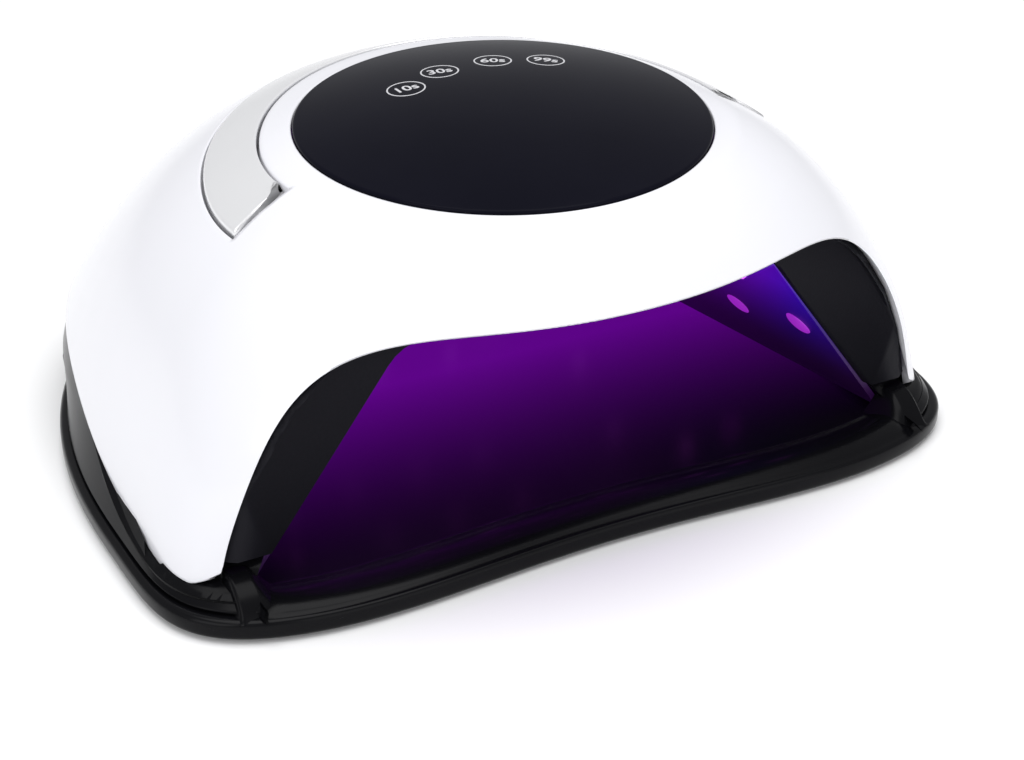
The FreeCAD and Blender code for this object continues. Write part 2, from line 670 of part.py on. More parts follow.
# --------------------------------------------------------------------------------------------------
# Lower frame
# --------------------------------------------------------------------------------------------------
def frame_form(inset, low_z=None):
    """Solid of the frame's outer form: tray outline below, the dome's foot above its shoulder."""
    mid, top = size("frame_mid_z"), size("frame_top_z")
    centre = size("base_centre_y")

    def loop(z, slack):
        v = (z - size("dome_foot_z")) / (size("dome_apex_z") - size("dome_foot_z"))
        scale = dome_section(v)[0]
        rear = size("dome_centre_y") + DOME_REAR * scale - centre
        places = [
            oval_point(
                angle,
                DOME_HALF * scale - inset - slack,
                centre - MOUTH_Y + size("toe_ahead") - inset,
                rear - inset - slack,
                size("base_front_squareness"),
                size("base_rear_squareness"),
                centre,
            )
            for angle in BASE_TURNS
        ]
        return closed_curve([V(x, y, z) for x, y in places])

    loops = [base_loop(size("frame_inset") + inset, FRAME_BOTTOM), loop(mid, 0.7), loop(top, 1.0)]
    solid = Part.makeLoft(loops, True, True)
    if low_z is not None:
        solid = solid.common(block(-FAR, FAR, -FAR, FAR, low_z, FAR))
    return solid


FRAME_SCREWS = []
for degrees in (9, 41, 71):
    for turn in (degrees, 180 - degrees):
        FRAME_SCREWS.append(outline_point(math.radians(turn), size("screw_inset")))


def make_frame():
    """Skirt with toes in front, an upstand inside the cover, a floor, screw bosses and vents."""
    gap = size("shell_gap")
    inside_cover = dome(size("cover_wall") + gap, 2).common(below_edge(size("frame_overlap")))
    body = frame_form(0).common(below_edge(0)).fuse(frame_form(2.8).common(inside_cover))
    body = body.cut(
        [
            frame_form(size("frame_wall"), FLOOR_TOP),
            block(-FAR, FAR, -FAR, MOUTH_Y + size("bezel_wall") + gap, size("bezel_foot_z") - 0.2, FAR),
            cavity(size("liner_wall") + gap, MOUTH_Y - 60, -30),
        ]
    )
    radius, height = size("post_radius"), size("post_height")
    bosses = [Part.makeCylinder(radius, height, V(x, y, FRAME_BOTTOM)) for x, y in FRAME_SCREWS]
    body = body.fuse(bosses)
    holes = [jack_hole()]
    for x, y in FRAME_SCREWS:
        holes.append(Part.makeCylinder(size("screw_radius") + 0.1, 30, V(x, y, FRAME_BOTTOM - 1)))
        holes.append(Part.makeCylinder(size("screw_head") + 0.2, 3.0, V(x, y, FRAME_BOTTOM - 1)))
    for x, y in MAGNET_PLACES:
        holes.append(Part.makeCylinder(size("magnet_radius"), size("plate_height"), V(x, y, FRAME_BOTTOM)))
    half = size("vent_width") / 2
    for side in SIDES.values():
        for i in range(6):
            x = side * (20 + i * size("vent_pitch"))
            low = FLOOR_TOP + 2.0
            holes.append(block(x - half, x + half, CAVITY_REAR_Y + 9, FAR / 2, low, low + size("vent_height")))
    keep_shape("lower_frame", largest(body.cut(holes)))


# --------------------------------------------------------------------------------------------------
# Power inlet
# --------------------------------------------------------------------------------------------------
def jack_front_y():
    """Outer face of the inlet, just inside the skirt's rear skin."""
    return TRAY_REAR_Y - size("frame_inset") - 2.6


def jack_hole():
    """Opening in the skirt for the inlet's collar."""
    y = jack_front_y()
    return Part.makeCylinder(size("jack_collar") + 0.2, 30, V(0, y - 9, size("jack_z")), Y_AXIS)


def make_jack():
    """Power inlet: a block with a round collar and a bore, and its centre pin."""
    y, z = jack_front_y(), size("jack_z")
    width, length = size("jack_width"), size("jack_length")
    inner = y - 3.4
    body = block(-width / 2, width / 2, inner - length, inner - 2.2, z - size("jack_height") / 2, z + size("jack_height") / 2)
    body = body.fuse(Part.makeCylinder(size("jack_collar"), 6.0, V(0, inner - 4, z), Y_AXIS))
    body = body.cut(Part.makeCylinder(size("jack_bore"), 10.0, V(0, y - 9.0, z), Y_AXIS))
    keep_shape("dc_inlet", body)
    turn = Rotation(Z_AXIS, Y_AXIS)
    pin = primitive("Cylinder", "dc_inlet_pin", at(0, y - 9.0, z, turn), Radius="Sizes.jack_pin")
    pin.Height = 7.5
    keep(pin, "dc_inlet_pin")


# --------------------------------------------------------------------------------------------------
# Top cover
# --------------------------------------------------------------------------------------------------
def knuckle_x(side):
    """Inner face of the handle's knuckle."""
    return side * HANDLE_INNER


def along_x(radius, x0, x1):
    """Cylinder round the handle's pivot axis from x0 to x1."""
    low, high = sorted((x0, x1))
    return Part.makeCylinder(radius, high - low, V(low, PIVOT.y, PIVOT.z), X_AXIS)


def make_cover():
    """White dome: wall, hand arch, rising lower edge, panel seat, handle channel and pivot bosses."""
    wall, gap = size("cover_wall"), size("handle_gap")
    inner, outer = HANDLE_INNER, HANDLE_OUTER
    skin = dome(0, plain=False)
    depth = size("handle_skin") + size("handle_core") - size("handle_proud") + size("channel_clearance")
    opening = PANEL_OPENING
    trough = dome(wall - 0.2).cut(dome(depth + size("channel_wall")))
    adds = [
        trough.common(handle_band(gap + 2.4, gap + 2.4, gap + 2.4)),
        ring(opening - size("panel_ledge"), opening + 2.6, SEAT_Z - 2.4, RIM_Z + 2.6).common(skin),
    ]
    front = block(-FAR, FAR, HANDLE_FRONT - gap, PIVOT.y + 6, PIVOT.z - 26, PIVOT.z + 24)
    cuts = [
        ring(0, opening, SEAT_Z, FAR),
        ring(0, opening - size("panel_ledge"), SEAT_Z - 31, FAR),
        handle_band(gap, gap, gap).common(dome(-20).cut(dome(depth))),
        arch_prism(0, -FAR, MOUTH_Y + 30),
        below_edge(0),
        tip_round(),
    ]
    for side in SIDES.values():
        x_in, x_mid, x_out = side * (inner - gap - 5.6), side * (inner - gap), side * (outer + gap)
        adds.append(along_x(size("boss_radius"), x_in, x_mid + side * 0.2).common(dome(0.4)))
        shell = along_x(WELL_RADIUS + 2.0, x_mid - side * 0.2, x_out + side * 2.5)
        rear_of = block(-FAR, FAR, HANDLE_FRONT - gap - 2.2, PIVOT.y + 8, PIVOT.z - 26, PIVOT.z + 1)
        adds.append(shell.common(rear_of).common(dome(1.0)))
        cuts.append(along_x(WELL_RADIUS, x_mid, x_out).common(front))
        cuts.append(along_x(size("pin_radius"), x_mid - side * 7, x_out))
    foot_z = FRAME_BOTTOM + size("post_height")
    posts = [Part.makeCylinder(size("post_radius"), FAR, V(x, y, foot_z)) for x, y in FRAME_SCREWS]
    adds += [post.common(dome(wall / 2)) for post in posts]
    depth = size("screw_length") + 1.0 - size("post_height")
    cuts += [Part.makeCylinder(size("screw_radius"), depth, V(x, y, foot_z)) for x, y in FRAME_SCREWS]
    body = skin.cut(dome(wall)).fuse(adds).cut(cuts)
    keep_shape("top_cover", largest(body))


def largest(shape):
    """The biggest solid of a shape that booleans may have left with crumbs."""
    return max(shape.Solids, key=lambda solid: solid.Volume)


# --------------------------------------------------------------------------------------------------
# Front bezel and reflector
# --------------------------------------------------------------------------------------------------
def make_bezel():
    """Matte front: a flange along the arch and a plate round the mouth."""
    wall, gap = size("bezel_wall"), size("shell_gap")
    inner = dome(size("cover_wall") + gap)
    outer = arch_prism(-1.8, -FAR / 2, MOUTH_Y + wall).common(inner)
    body = outer.cut(arch_prism(wall - 1.8, -FAR / 2, MOUTH_Y))
    body = body.cut(cavity(gap, MOUTH_Y - 100, -60))
    body = body.cut(block(-FAR, FAR, -FAR, FAR, -50, size("bezel_foot_z")))
    keep_shape("front_bezel", largest(body))


def bead_hole(wall, along, up, radius):
    """Round hole through the reflector under a bead."""
    place = WALLS[wall].place(along, up, 4)
    hole = Part.makeCylinder(radius, 20, ORIGIN, V(0, 0, -1))
    hole.Placement = place
    return hole


def make_reflector():
    """Lining of the cavity: ceiling, sides and rear in one shell, with a hole for each bead."""
    wall = size("liner_wall")
    y_front = MOUTH_Y + size("bezel_wall") + 0.0
    body = cavity(wall, y_front, FRAME_BOTTOM + 0.6)
    radius = size("bead_radius") + size("bead_clearance")
    holes = [bead_hole(name, along, up, radius) for name, beads in BEADS.items() for along, up in beads]
    keep_shape("reflector", body.cut([cavity(0, MOUTH_Y - 20, -20)] + holes))


def make_boards_and_beads():
    """Behind each wall a circuit board that carries that wall's beads."""
    wall, thick = size("liner_wall"), size("board_wall")
    for name, beads in BEADS.items():
        start, length, low, width = BOARDS[name]
        place = WALLS[name].place(start, low, -wall - thick)
        if WALLS[name].n.cross(WALLS[name].u).dot(WALLS[name].v) < 0:
            place = WALLS[name].place(start, low + width, -wall - thick)
        board = primitive("Box", f"led_board_{name}", place, Height="Sizes.board_wall")
        board.Length = length
        board.Width = width
        keep(board, f"led_board_{name}")
        members = []
        for i, (along, up) in enumerate(beads):
            bead = primitive(
                "Cone",
                f"bead_{name}_{i}",
                WALLS[name].place(along, up, -wall),
                Radius1="Sizes.bead_radius",
                Radius2="Sizes.bead_radius * 0.8",
                Height="Sizes.liner_wall + Sizes.bead_proud",
            )
            members.append(bead)
        keep_group(f"led_beads_{name}", members)


# --------------------------------------------------------------------------------------------------
# Touch panel and what lies under it
# --------------------------------------------------------------------------------------------------
def panel_cap(share, drop):
    """Point of the panel's cap at a share of its radius: a sphere whose centre is on the axis."""
    radius = size("panel_radius")
    rise = size("panel_rise")
    ball = (rise * rise + radius * radius) / (2 * rise)
    across = share * radius
    height = CROWN_Z - ball + math.sqrt((ball - drop) ** 2 - across * across)
    return V(across, PANEL_Y, height)


UNDER_SHARES = (0.0, 0.55, 1 - size("panel_wall") / size("panel_radius"))
UNDER = [panel_cap(share, size("panel_wall")) for share in UNDER_SHARES]


def under_z(radius):
    """Height of the panel's underside, two cones, at a radius from its axis."""
    inner, outer = UNDER[:2] if radius < UNDER[1].x else UNDER[1:]
    return inner.z + (outer.z - inner.z) * (radius - inner.x) / (outer.x - inner.x)


def make_panel():
    """Glossy touch panel: a shallow dome with a short wall, turned about the panel's axis."""
    radius, wall = size("panel_radius"), size("panel_wall")
    seat = SEAT_Z + size("gasket_height")
    soft = size("panel_edge_round")
    shoulder = panel_cap(1 - soft / radius, 0)
    outer_edge = V(radius, PANEL_Y, shoulder.z - soft)
    knee = V(radius - 0.28 * soft, PANEL_Y, shoulder.z - 0.3 * soft)
    foot_in, foot_out = V(radius - wall, PANEL_Y, seat), V(radius, PANEL_Y, seat)
    edges = [
        Part.LineSegment(foot_out, outer_edge).toShape(),
        Part.Arc(outer_edge, knee, shoulder).toShape(),
        Part.Arc(shoulder, panel_cap(0.5, 0), panel_cap(0, 0)).toShape(),
        Part.LineSegment(panel_cap(0, 0), UNDER[0]).toShape(),
        Part.LineSegment(UNDER[0], UNDER[1]).toShape(),
        Part.LineSegment(UNDER[1], UNDER[2]).toShape(),
        Part.LineSegment(UNDER[2], foot_in).toShape(),
        Part.LineSegment(foot_in, foot_out).toShape(),
    ]
    face = Part.Face(Part.Wire(edges))
    keep_shape("touch_panel", face.revolve(V(0, PANEL_Y, 0), Z_AXIS, 360))


def make_gasket():
    """Foam ring between the panel's wall and its ledge."""
    outer = primitive(
        "Cylinder", "gasket_outer", at(0, PANEL_Y, SEAT_Z),
        Radius="Sizes.panel_radius", Height="Sizes.gasket_height",
    )
    inner = primitive(
        "Cylinder", "gasket_inner", at(0, PANEL_Y, SEAT_Z),
        Radius="Sizes.panel_radius - Sizes.panel_wall", Height="Sizes.gasket_height",
    )
    obj = doc.addObject("Part::Cut", "panel_gasket")
    obj.Base = outer
    obj.Tool = inner
    keep(obj, "panel_gasket")


KEY_PLACES = [
    (side * size(f"key_{which}_x"), size(f"key_{which}_y"))
    for side, which in ((-1, "outer"), (-1, "inner"), (1, "inner"), (1, "outer"))
]
TOUCH_BOARD_Z = SEAT_Z - size("touch_board_drop")


def make_touch_unit():
    """Board on the ledge's underside level with display and one sensing spring under each key."""
    board = primitive(
        "Cylinder", "touch_board", at(0, PANEL_Y, TOUCH_BOARD_Z),
        Radius="Sizes.panel_radius - Sizes.panel_ledge - 0.1", Height="Sizes.board_wall",
    )
    keep(board, "touch_board")
    top = TOUCH_BOARD_Z + size("board_wall")
    display = primitive(
        "Box",
        "display_module",
        at(-size("display_length") / 2, PANEL_Y - size("display_ahead"), top),
        Length="Sizes.display_length",
        Width="Sizes.display_width",
        Height="Sizes.display_height",
    )
    keep(display, "display_module")
    members = []
    for i, (x, y) in enumerate(KEY_PLACES):
        radius, inner = size("spring_radius"), size("spring_radius") - size("spring_wire")
        under = under_z(math.hypot(x, y) + radius) - 0.05
        coil = Part.makeCylinder(radius, under - top, V(x, PANEL_Y + y, top))
        coil = coil.cut(Part.makeCylinder(inner, under - top, V(x, PANEL_Y + y, top)))
        spring = doc.addObject("Part::Feature", f"touch_spring_{i}")
        spring.Shape = coil
        members.append(spring)
    keep_group("touch_springs", members)


# --------------------------------------------------------------------------------------------------
# Carry handle
# --------------------------------------------------------------------------------------------------
def make_handle():
    """Plated skin over a core; the core has the knuckles that turn on the pins."""
    proud, skin, core = size("handle_proud"), size("handle_skin"), size("handle_core")
    half = HANDLE_OUTER + 5
    over = block(-half, half, -FAR, PIVOT.y, PIVOT.z, FAR).cut(along_x(size("handle_nose"), -half, half))
    band = handle_band(0, 0, 0).cut(over)
    middle = dome(skin - proud).common(band)
    keep_shape("handle_plate", largest(dome(-proud, plain=False).common(band).cut(middle)))
    lugs, bores = [], []
    for side in SIDES.values():
        start = knuckle_x(side)
        end = start + side * size("knuckle_width")
        lugs.append(along_x(size("knuckle_radius"), start, end).common(dome(skin - proud)))
        bores.append(along_x(size("pin_radius") + size("pin_clearance"), start - side, end + side * 12))
    body = middle.cut(dome(skin + core - proud)).fuse(lugs).cut(bores)
    keep_shape("handle_core", largest(body))


def make_pins():
    """Pivot pins, pressed into the cover's bosses and running in the handle's knuckles."""
    for name, side in SIDES.items():
        start = side * (HANDLE_INNER - size("handle_gap") - 5.6)
        turn = Rotation(Z_AXIS, X_AXIS * side)
        pin = primitive(
            "Cylinder", f"pivot_pin_{name}", Placement(V(start, PIVOT.y, PIVOT.z), turn),
            Radius="Sizes.pin_radius", Height="Sizes.pin_length",
        )
        keep(pin, f"pivot_pin_{name}")


# --------------------------------------------------------------------------------------------------
# Electronics and fasteners inside
# --------------------------------------------------------------------------------------------------
def make_control_board():
    """Main board behind the cavity's rear wall, on two posts of the frame's floor."""
    front, middle = CAVITY_REAR_Y + size("control_gap"), size("control_width") / 2
    board = primitive(
        "Box",
        "control_board",
        at(-size("control_length") / 2, front, FLOOR_TOP),
        Length="Sizes.control_length",
        Width="Sizes.control_width",
        Height="Sizes.board_wall",
    )
    keep(board, "control_board")
    top = FLOOR_TOP + size("board_wall")
    buzzer = primitive(
        "Cylinder",
        "buzzer",
        at(size("buzzer_x"), front + middle, top),
        Radius="Sizes.buzzer_radius",
        Height="Sizes.buzzer_height",
    )
    keep(buzzer, "buzzer")
    x, length, width, height = size("sink_x"), size("sink_length"), size("sink_width"), size("sink_height")
    y = front + middle - width / 2
    sink = Part.makeBox(length, width, height, V(x, y, top))
    fins = 4
    groove = length / (2 * fins + 1)
    foot = 0.2 * height
    grooves = [
        Part.makeBox(groove, width + 2, height, V(x + groove * (2 * i + 1), y - 1, top + foot)) for i in range(fins)
    ]
    keep_shape("heat_sink", sink.cut(grooves))


def make_screws():
    """Screws that hold the cover to the frame from below."""
    members = []
    for i, (x, y) in enumerate(FRAME_SCREWS):
        low, head_height = FRAME_BOTTOM + 0.2, 1.8
        head = Part.makeCylinder(size("screw_head"), head_height, V(x, y, low))
        shank = Part.makeCylinder(size("screw_radius"), size("screw_length") - head_height, V(x, y, low + head_height))
        screw = doc.addObject("Part::Feature", f"frame_screw_{i}")
        screw.Shape = head.fuse(shank)
        members.append(screw)
    keep_group("frame_screws", members)


# --------------------------------------------------------------------------------------------------
# Build, check and write
# --------------------------------------------------------------------------------------------------
make_tray()
make_feet()
make_magnets()
make_frame()
make_jack()
make_cover()
make_bezel()
make_reflector()
make_boards_and_beads()
make_panel()
make_gasket()
make_touch_unit()
make_handle()
make_pins()
make_control_board()
make_screws()
doc.recompute()

for obj in doc.Objects:
    faults = {"Invalid", "Error"} & set(obj.State)
    if faults:
        raise RuntimeError(f"{obj.Label}: {sorted(faults)}")
for obj in parts:
    if obj.Shape.isNull() or not obj.Shape.isValid():
        raise RuntimeError(f"{obj.Label}: no valid shape")

os.makedirs("parts", exist_ok=True)
for obj in parts:
    obj.Shape.exportStep(f"parts/{obj.Label}.step")
    box = obj.Shape.BoundBox
    print(f"{obj.Label:22s} solids {len(obj.Shape.Solids):3d}  z {box.ZMin:7.2f} {box.ZMax:7.2f}")
print("pivot", PIVOT.y, round(PIVOT.z, 4), "seat", round(SEAT_Z, 3), "crown", round(CROWN_Z, 3))
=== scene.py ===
# %% [markdown]
# # A nail curing lamp
#
# The lamp is a domed white cover over an open hand cavity. A glossy touch panel closes the crown, a
# silver carry handle lies in a channel behind it, and the whole housing stands on a black tray. The
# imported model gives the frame: every piece below is placed by its numbers, in metres, and rides on
# one of its bodies.

# %% Load the frame
import json
import math

import bmesh
import bpy
import numpy as np
from mathutils import Matrix, Vector


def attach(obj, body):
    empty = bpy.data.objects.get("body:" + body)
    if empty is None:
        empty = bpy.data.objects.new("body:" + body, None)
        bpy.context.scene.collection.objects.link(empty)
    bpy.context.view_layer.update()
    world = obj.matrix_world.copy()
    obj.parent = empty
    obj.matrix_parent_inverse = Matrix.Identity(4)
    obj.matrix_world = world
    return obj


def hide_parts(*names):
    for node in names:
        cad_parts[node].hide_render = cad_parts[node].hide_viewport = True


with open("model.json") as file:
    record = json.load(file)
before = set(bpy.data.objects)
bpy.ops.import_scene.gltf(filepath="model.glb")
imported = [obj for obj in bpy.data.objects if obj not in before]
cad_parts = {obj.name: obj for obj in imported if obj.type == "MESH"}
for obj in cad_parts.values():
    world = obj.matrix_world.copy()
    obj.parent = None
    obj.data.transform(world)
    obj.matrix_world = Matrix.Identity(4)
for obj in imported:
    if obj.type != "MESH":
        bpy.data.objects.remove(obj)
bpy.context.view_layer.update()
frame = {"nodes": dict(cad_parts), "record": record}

# %% [markdown]
# ## Camera
#
# A product view is fixed by an azimuth, an elevation, a distance and the length of the lens. The
# lamp is seen from its front left, thirty degrees above the table, through a long lens, so that the
# dome keeps its shape. Building the turn from three axes avoids any doubt about Euler angles.

# %% The camera
AZIMUTH = math.radians(-28.18)
ELEVATION = math.radians(30.04)
DISTANCE = 0.6934
TARGET = Vector((0.01433, -0.00777, 0.00278))
ROLL = math.radians(0.415)
SENSOR_WIDTH, LENS = 36.0, 84.43

level = math.cos(ELEVATION)
toward = Vector((math.sin(AZIMUTH) * level, -math.cos(AZIMUTH) * level, math.sin(ELEVATION)))
right = Vector((math.cos(AZIMUTH), math.sin(AZIMUTH), 0))
up = toward.cross(right)
rolled_right = right * math.cos(ROLL) + up * math.sin(ROLL)
rolled_up = up * math.cos(ROLL) - right * math.sin(ROLL)

camera_data = bpy.data.cameras.new("camera")
camera_data.sensor_width = SENSOR_WIDTH
camera_data.lens = LENS
camera = bpy.data.objects.new("camera", camera_data)
turn = Matrix((rolled_right, rolled_up, toward)).transposed().to_4x4()
camera.matrix_world = Matrix.Translation(TARGET + toward * DISTANCE) @ turn
bpy.context.scene.collection.objects.link(camera)
bpy.context.scene.camera = camera
print("camera at", [round(value, 3) for value in camera.location])

# %% [markdown]
# ## Meshes from arrays
#
# Every new surface here is a grid: rows run one way over the piece, columns the other. NumPy works
# out all points at once, and the mesh takes them in one call. Where two rows fall together, as at
# a sharp corner, the doubles are merged afterwards.


# %% Grid helper
MERGE_WITHIN = 1e-6


def add_piece(name, mesh):
    """Object at the origin that shows a mesh."""
    piece = bpy.data.objects.new(name, mesh)
    bpy.context.scene.collection.objects.link(piece)
    return piece


def corners(mesh):
    """All corners of a mesh as one array with rows (x, y, z)."""
    flat = np.empty(len(mesh.vertices) * 3)
    mesh.vertices.foreach_get("co", flat)
    return flat.reshape(-1, 3)


def move_corners(mesh, points):
    """Put the corners of a mesh at new points."""
    mesh.vertices.foreach_set("co", points.ravel())
    mesh.update()


def grid_piece(name, points, closed=False, merge=True):
    """Mesh object from points[row, column, xyz]; closed joins the last column to the first."""
    rows, columns, _ = points.shape
    index = np.arange(rows * columns).reshape(rows, columns)
    if closed:
        index = np.concatenate([index, index[:, :1]], axis=1)
    quads = np.stack([index[:-1, :-1], index[:-1, 1:], index[1:, 1:], index[1:, :-1]], axis=-1).reshape(-1, 4)
    mesh = bpy.data.meshes.new(name)
    mesh.from_pydata(points.reshape(-1, 3), [], quads)
    if merge:
        tidy = bmesh.new()
        tidy.from_mesh(mesh)
        bmesh.ops.remove_doubles(tidy, verts=tidy.verts, dist=2 * MERGE_WITHIN)
        bmesh.ops.dissolve_degenerate(tidy, edges=tidy.edges, dist=MERGE_WITHIN)
        tidy.to_mesh(mesh)
        tidy.free()
    mesh.shade_smooth()
    return add_piece(name, mesh)


def smooth_copy(node, name, angle):
    """Copy of a CAD node with its loose triangles merged and shaded smooth below an angle."""
    mesh = frame["nodes"][node].data.copy()
    mesh.name = name
    tidy = bmesh.new()
    tidy.from_mesh(mesh)
    bmesh.ops.remove_doubles(tidy, verts=tidy.verts, dist=MERGE_WITHIN)
    tidy.to_mesh(mesh)
    tidy.free()
    mesh.shade_smooth()
    mesh.set_sharp_from_angle(angle=math.radians(angle))
    return add_piece(name, mesh)


print("surfaces are laid out as grids, and corners within", MERGE_WITHIN, "m are merged")


# %% [markdown]
# ## Shader maths as plain expressions
#
# Node trees for colour and gloss are sums and products. A small wrapper lets them be written as
# such: adding two wrapped sockets adds a Math node. Colours go through one Mix helper, and any other
# node comes from a single method.


# %% Socket arithmetic
class Sock:
    """A node socket that adds Math nodes when it is used in an expression."""

    def __init__(self, tree, socket):
        self.tree, self.socket = tree, socket

    def math(self, operation, *others):
        node = self.tree.nodes.new("ShaderNodeMath")
        node.operation = operation
        for slot, value in zip(node.inputs, (self,) + others):
            put(self.tree, slot, value)
        return Sock(self.tree, node.outputs[0])

    def __add__(self, other):
        return self.math("ADD", other)

    __radd__ = __add__

    def __mul__(self, other):
        return self.math("MULTIPLY", other)

    __rmul__ = __mul__

    def __sub__(self, other):
        return self.math("SUBTRACT", other)

    def __rsub__(self, other):
        return as_sock(self.tree, other) - self

    def __pow__(self, other):
        return self.math("POWER", other)

    def __abs__(self):
        return self.math("ABSOLUTE")

    def clamp(self, low=0.0, high=1.0):
        return self.math("MAXIMUM", low).math("MINIMUM", high)

    def above(self, edge, soft):
        """0 below edge, 1 above it, over a width of soft."""
        return ((self - edge) * (1.0 / soft) + 0.5).clamp()


def as_sock(tree, value):
    """A plain number as a socket, for the left side of a subtraction."""
    node = tree.nodes.new("ShaderNodeMath")
    node.operation = "ADD"
    node.inputs[0].default_value = value
    node.inputs[1].default_value = 0.0
    return Sock(tree, node.outputs[0])


def put(tree, slot, value):
    """Link a wrapped socket, or set a plain value."""
    if isinstance(value, Sock):
        tree.links.new(value.socket, slot)
    else:
        slot.default_value = value


class Finish:
    """A material with one Principled shader; constants are set on its own sockets."""

    def __init__(self, name, **constants):
        self.material = bpy.data.materials.new(name)
        self.material.use_nodes = True
        self.tree = self.material.node_tree
        self.shader = self.tree.nodes["Principled BSDF"]
        self.set(**constants)

    def set(self, **values):
        for key, value in values.items():
            put(self.tree, self.shader.inputs[key.replace("_", " ")], value)

    def node(self, kind, settings=None, output=0, slots=None, **inputs):
        """Any other node: settings are attributes, slots go by number and inputs by socket name."""
        node = self.tree.nodes.new(kind)
        for key, value in (settings or {}).items():
            setattr(node, key, value)
        for number, value in (slots or {}).items():
            put(self.tree, node.inputs[number], value)
        for key, value in inputs.items():
            put(self.tree, node.inputs[key.replace("_", " ")], value)
        return Sock(self.tree, node.outputs[output])

    def place(self):
        """Object coordinates: metres in the lamp's own frame."""
        return self.node("ShaderNodeTexCoord", output="Object")

    def axes(self):
        """x, y and z of the place as three sockets."""
        first = self.node("ShaderNodeSeparateXYZ", slots={0: self.place()})
        return [Sock(self.tree, output) for output in first.socket.node.outputs]

    def noise(self, scale, detail=3.0):
        """Soft noise with a scale in waves per metre."""
        return self.node("ShaderNodeTexNoise", Vector=self.place(), Scale=scale, Detail=detail)

    def mix(self, factor, low, high):
        """Colour between low and high."""
        return self.node("ShaderNodeMix", {"data_type": "RGBA"}, 2, {0: factor, 6: low, 7: high})

    def bump(self, height, strength, distance):
        """Fine relief of the surface: a height times a distance in metres."""
        self.set(Normal=self.node("ShaderNodeBump", Height=height, Strength=strength, Distance=distance))


def paint(piece, finish):
    """Give a piece one finish all over."""
    piece.data.materials.clear()
    piece.data.materials.append(finish.material)
    for polygon in piece.data.polygons:
        polygon.material_index = 0


def rgb(red, green, blue):
    """Opaque colour."""
    return (red, green, blue, 1.0)


print("finishes are built on", Finish.__name__, "and their sums on", Sock.__name__)

# %% [markdown]
# ## The dome's form
#
# The cover is a stack of level sections. Each is a squared oval, |x/a|^n + |y/b|^n = 1, with its own
# reach and squareness in front and behind. Going up, all sections shrink by the same curve, and the
# front ones grow from an upright face into a visor over the hand. One function of height share and
# direction therefore gives the whole skin, and a wall is the same function pulled in by its thickness.
# There are two sets of numbers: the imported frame's, and the finished skin's, whose shoulders are a
# little leaner. Inner pieces that touch the skin are led from the first form to the second.

# %% Sections of the dome
CENTRE_Y, FOOT_Z, APEX_Z = -0.0395, 0.008, 0.101
PANEL_Y = -0.0285
FAR_OUT = 0.25
SKIN = {
    "half": 0.1128, "rear": 0.139, "foot": 0.0457, "visor": 0.0841, "visor_share": 0.7035,
    "rise": 1.572, "round": 3.33, "front": (5.69, 3.117), "back": (3.57, 0.7535),
}
ENGINEERED = {
    "half": 0.114, "rear": 0.139, "foot": 0.046, "visor": 0.0834, "visor_share": 0.75,
    "rise": 2.31, "round": 2.44, "front": (4.9, 2.9), "back": (2.5, 3.0),
}


def section(share, form=SKIN):
    """Scale, front reach and the two squareness powers at a height share (arrays)."""
    scale = (1 - share ** form["rise"]) ** (1 / form["round"])
    t = np.minimum(share / form["visor_share"], 1)
    reach = form["foot"] + (form["visor"] - form["foot"]) * t * t * (3 - 2 * t)
    front, fade = form["front"]
    back, bulge = form["back"]
    return scale, reach, 2 + (front - 2) * (1 - share) ** fade, 2 + (back - 2) * (1 - share**bulge)


def oval_value(x, y, share, inset, form=SKIN):
    """|x/a|^n + |y/b|^n of the section at that share: below 1 inside it, above 1 outside."""
    scale, reach, front_power, rear_power = section(share, form)
    back = y > CENTRE_Y
    b = np.where(back, (form["rear"] - inset) * scale, (reach - inset) * scale)
    power = np.where(back, rear_power, front_power)
    a = (form["half"] - inset) * scale
    return np.abs(x / a) ** power + np.abs((y - CENTRE_Y) / b) ** power


def bisect(function, low, high, steps=44):
    """Root of a rising function between two arrays, by halving."""
    low, high = np.array(low, float), np.array(high, float)
    for _ in range(steps):
        middle = (low + high) / 2
        over = function(middle) > 0
        high = np.where(over, middle, high)
        low = np.where(over, low, middle)
    return (low + high) / 2


def skin_by_share(angle, share, inset=0.0):
    """Skin point in a direction from the panel's axis, at a height share."""
    c, s = np.cos(angle), np.sin(angle)
    axis = np.zeros(np.broadcast(angle, share).shape)
    radius = bisect(lambda r: oval_value(r * c, PANEL_Y + r * s, share, inset) - 1, axis, axis + FAR_OUT)
    z = FOOT_Z + share * (APEX_Z - inset - FOOT_Z)
    return np.stack([radius * c, PANEL_Y + radius * s, z + 0 * radius], axis=-1)


def share_over(x, y, inset=0.0, form=SKIN):
    """Height share of the skin above a point of the plan."""
    foot, top = np.zeros(np.shape(x)), np.full(np.shape(x), 0.9999)
    return bisect(lambda v: oval_value(x, y, v, inset, form) - 1, foot, top)


def skin_over(x, y, inset=0.0):
    """Skin point above a point of the plan."""
    share = share_over(x, y, inset)
    return np.stack([x, y, FOOT_Z + share * (APEX_Z - inset - FOOT_Z)], axis=-1)


print("crown of the bare dome", skin_over(np.array([0.0]), np.array([PANEL_Y]))[0].round(4))

# %% [markdown]
# ## Where the cover ends
#
# Two cuts trim the dome: a lower edge that rises in a soft step to the rear, and the arch over the
# hand. Seen from the panel's axis each direction meets the cut once, so the height share of the
# trimmed edge is found by walking down the skin to the first point below a cut, and halving there.

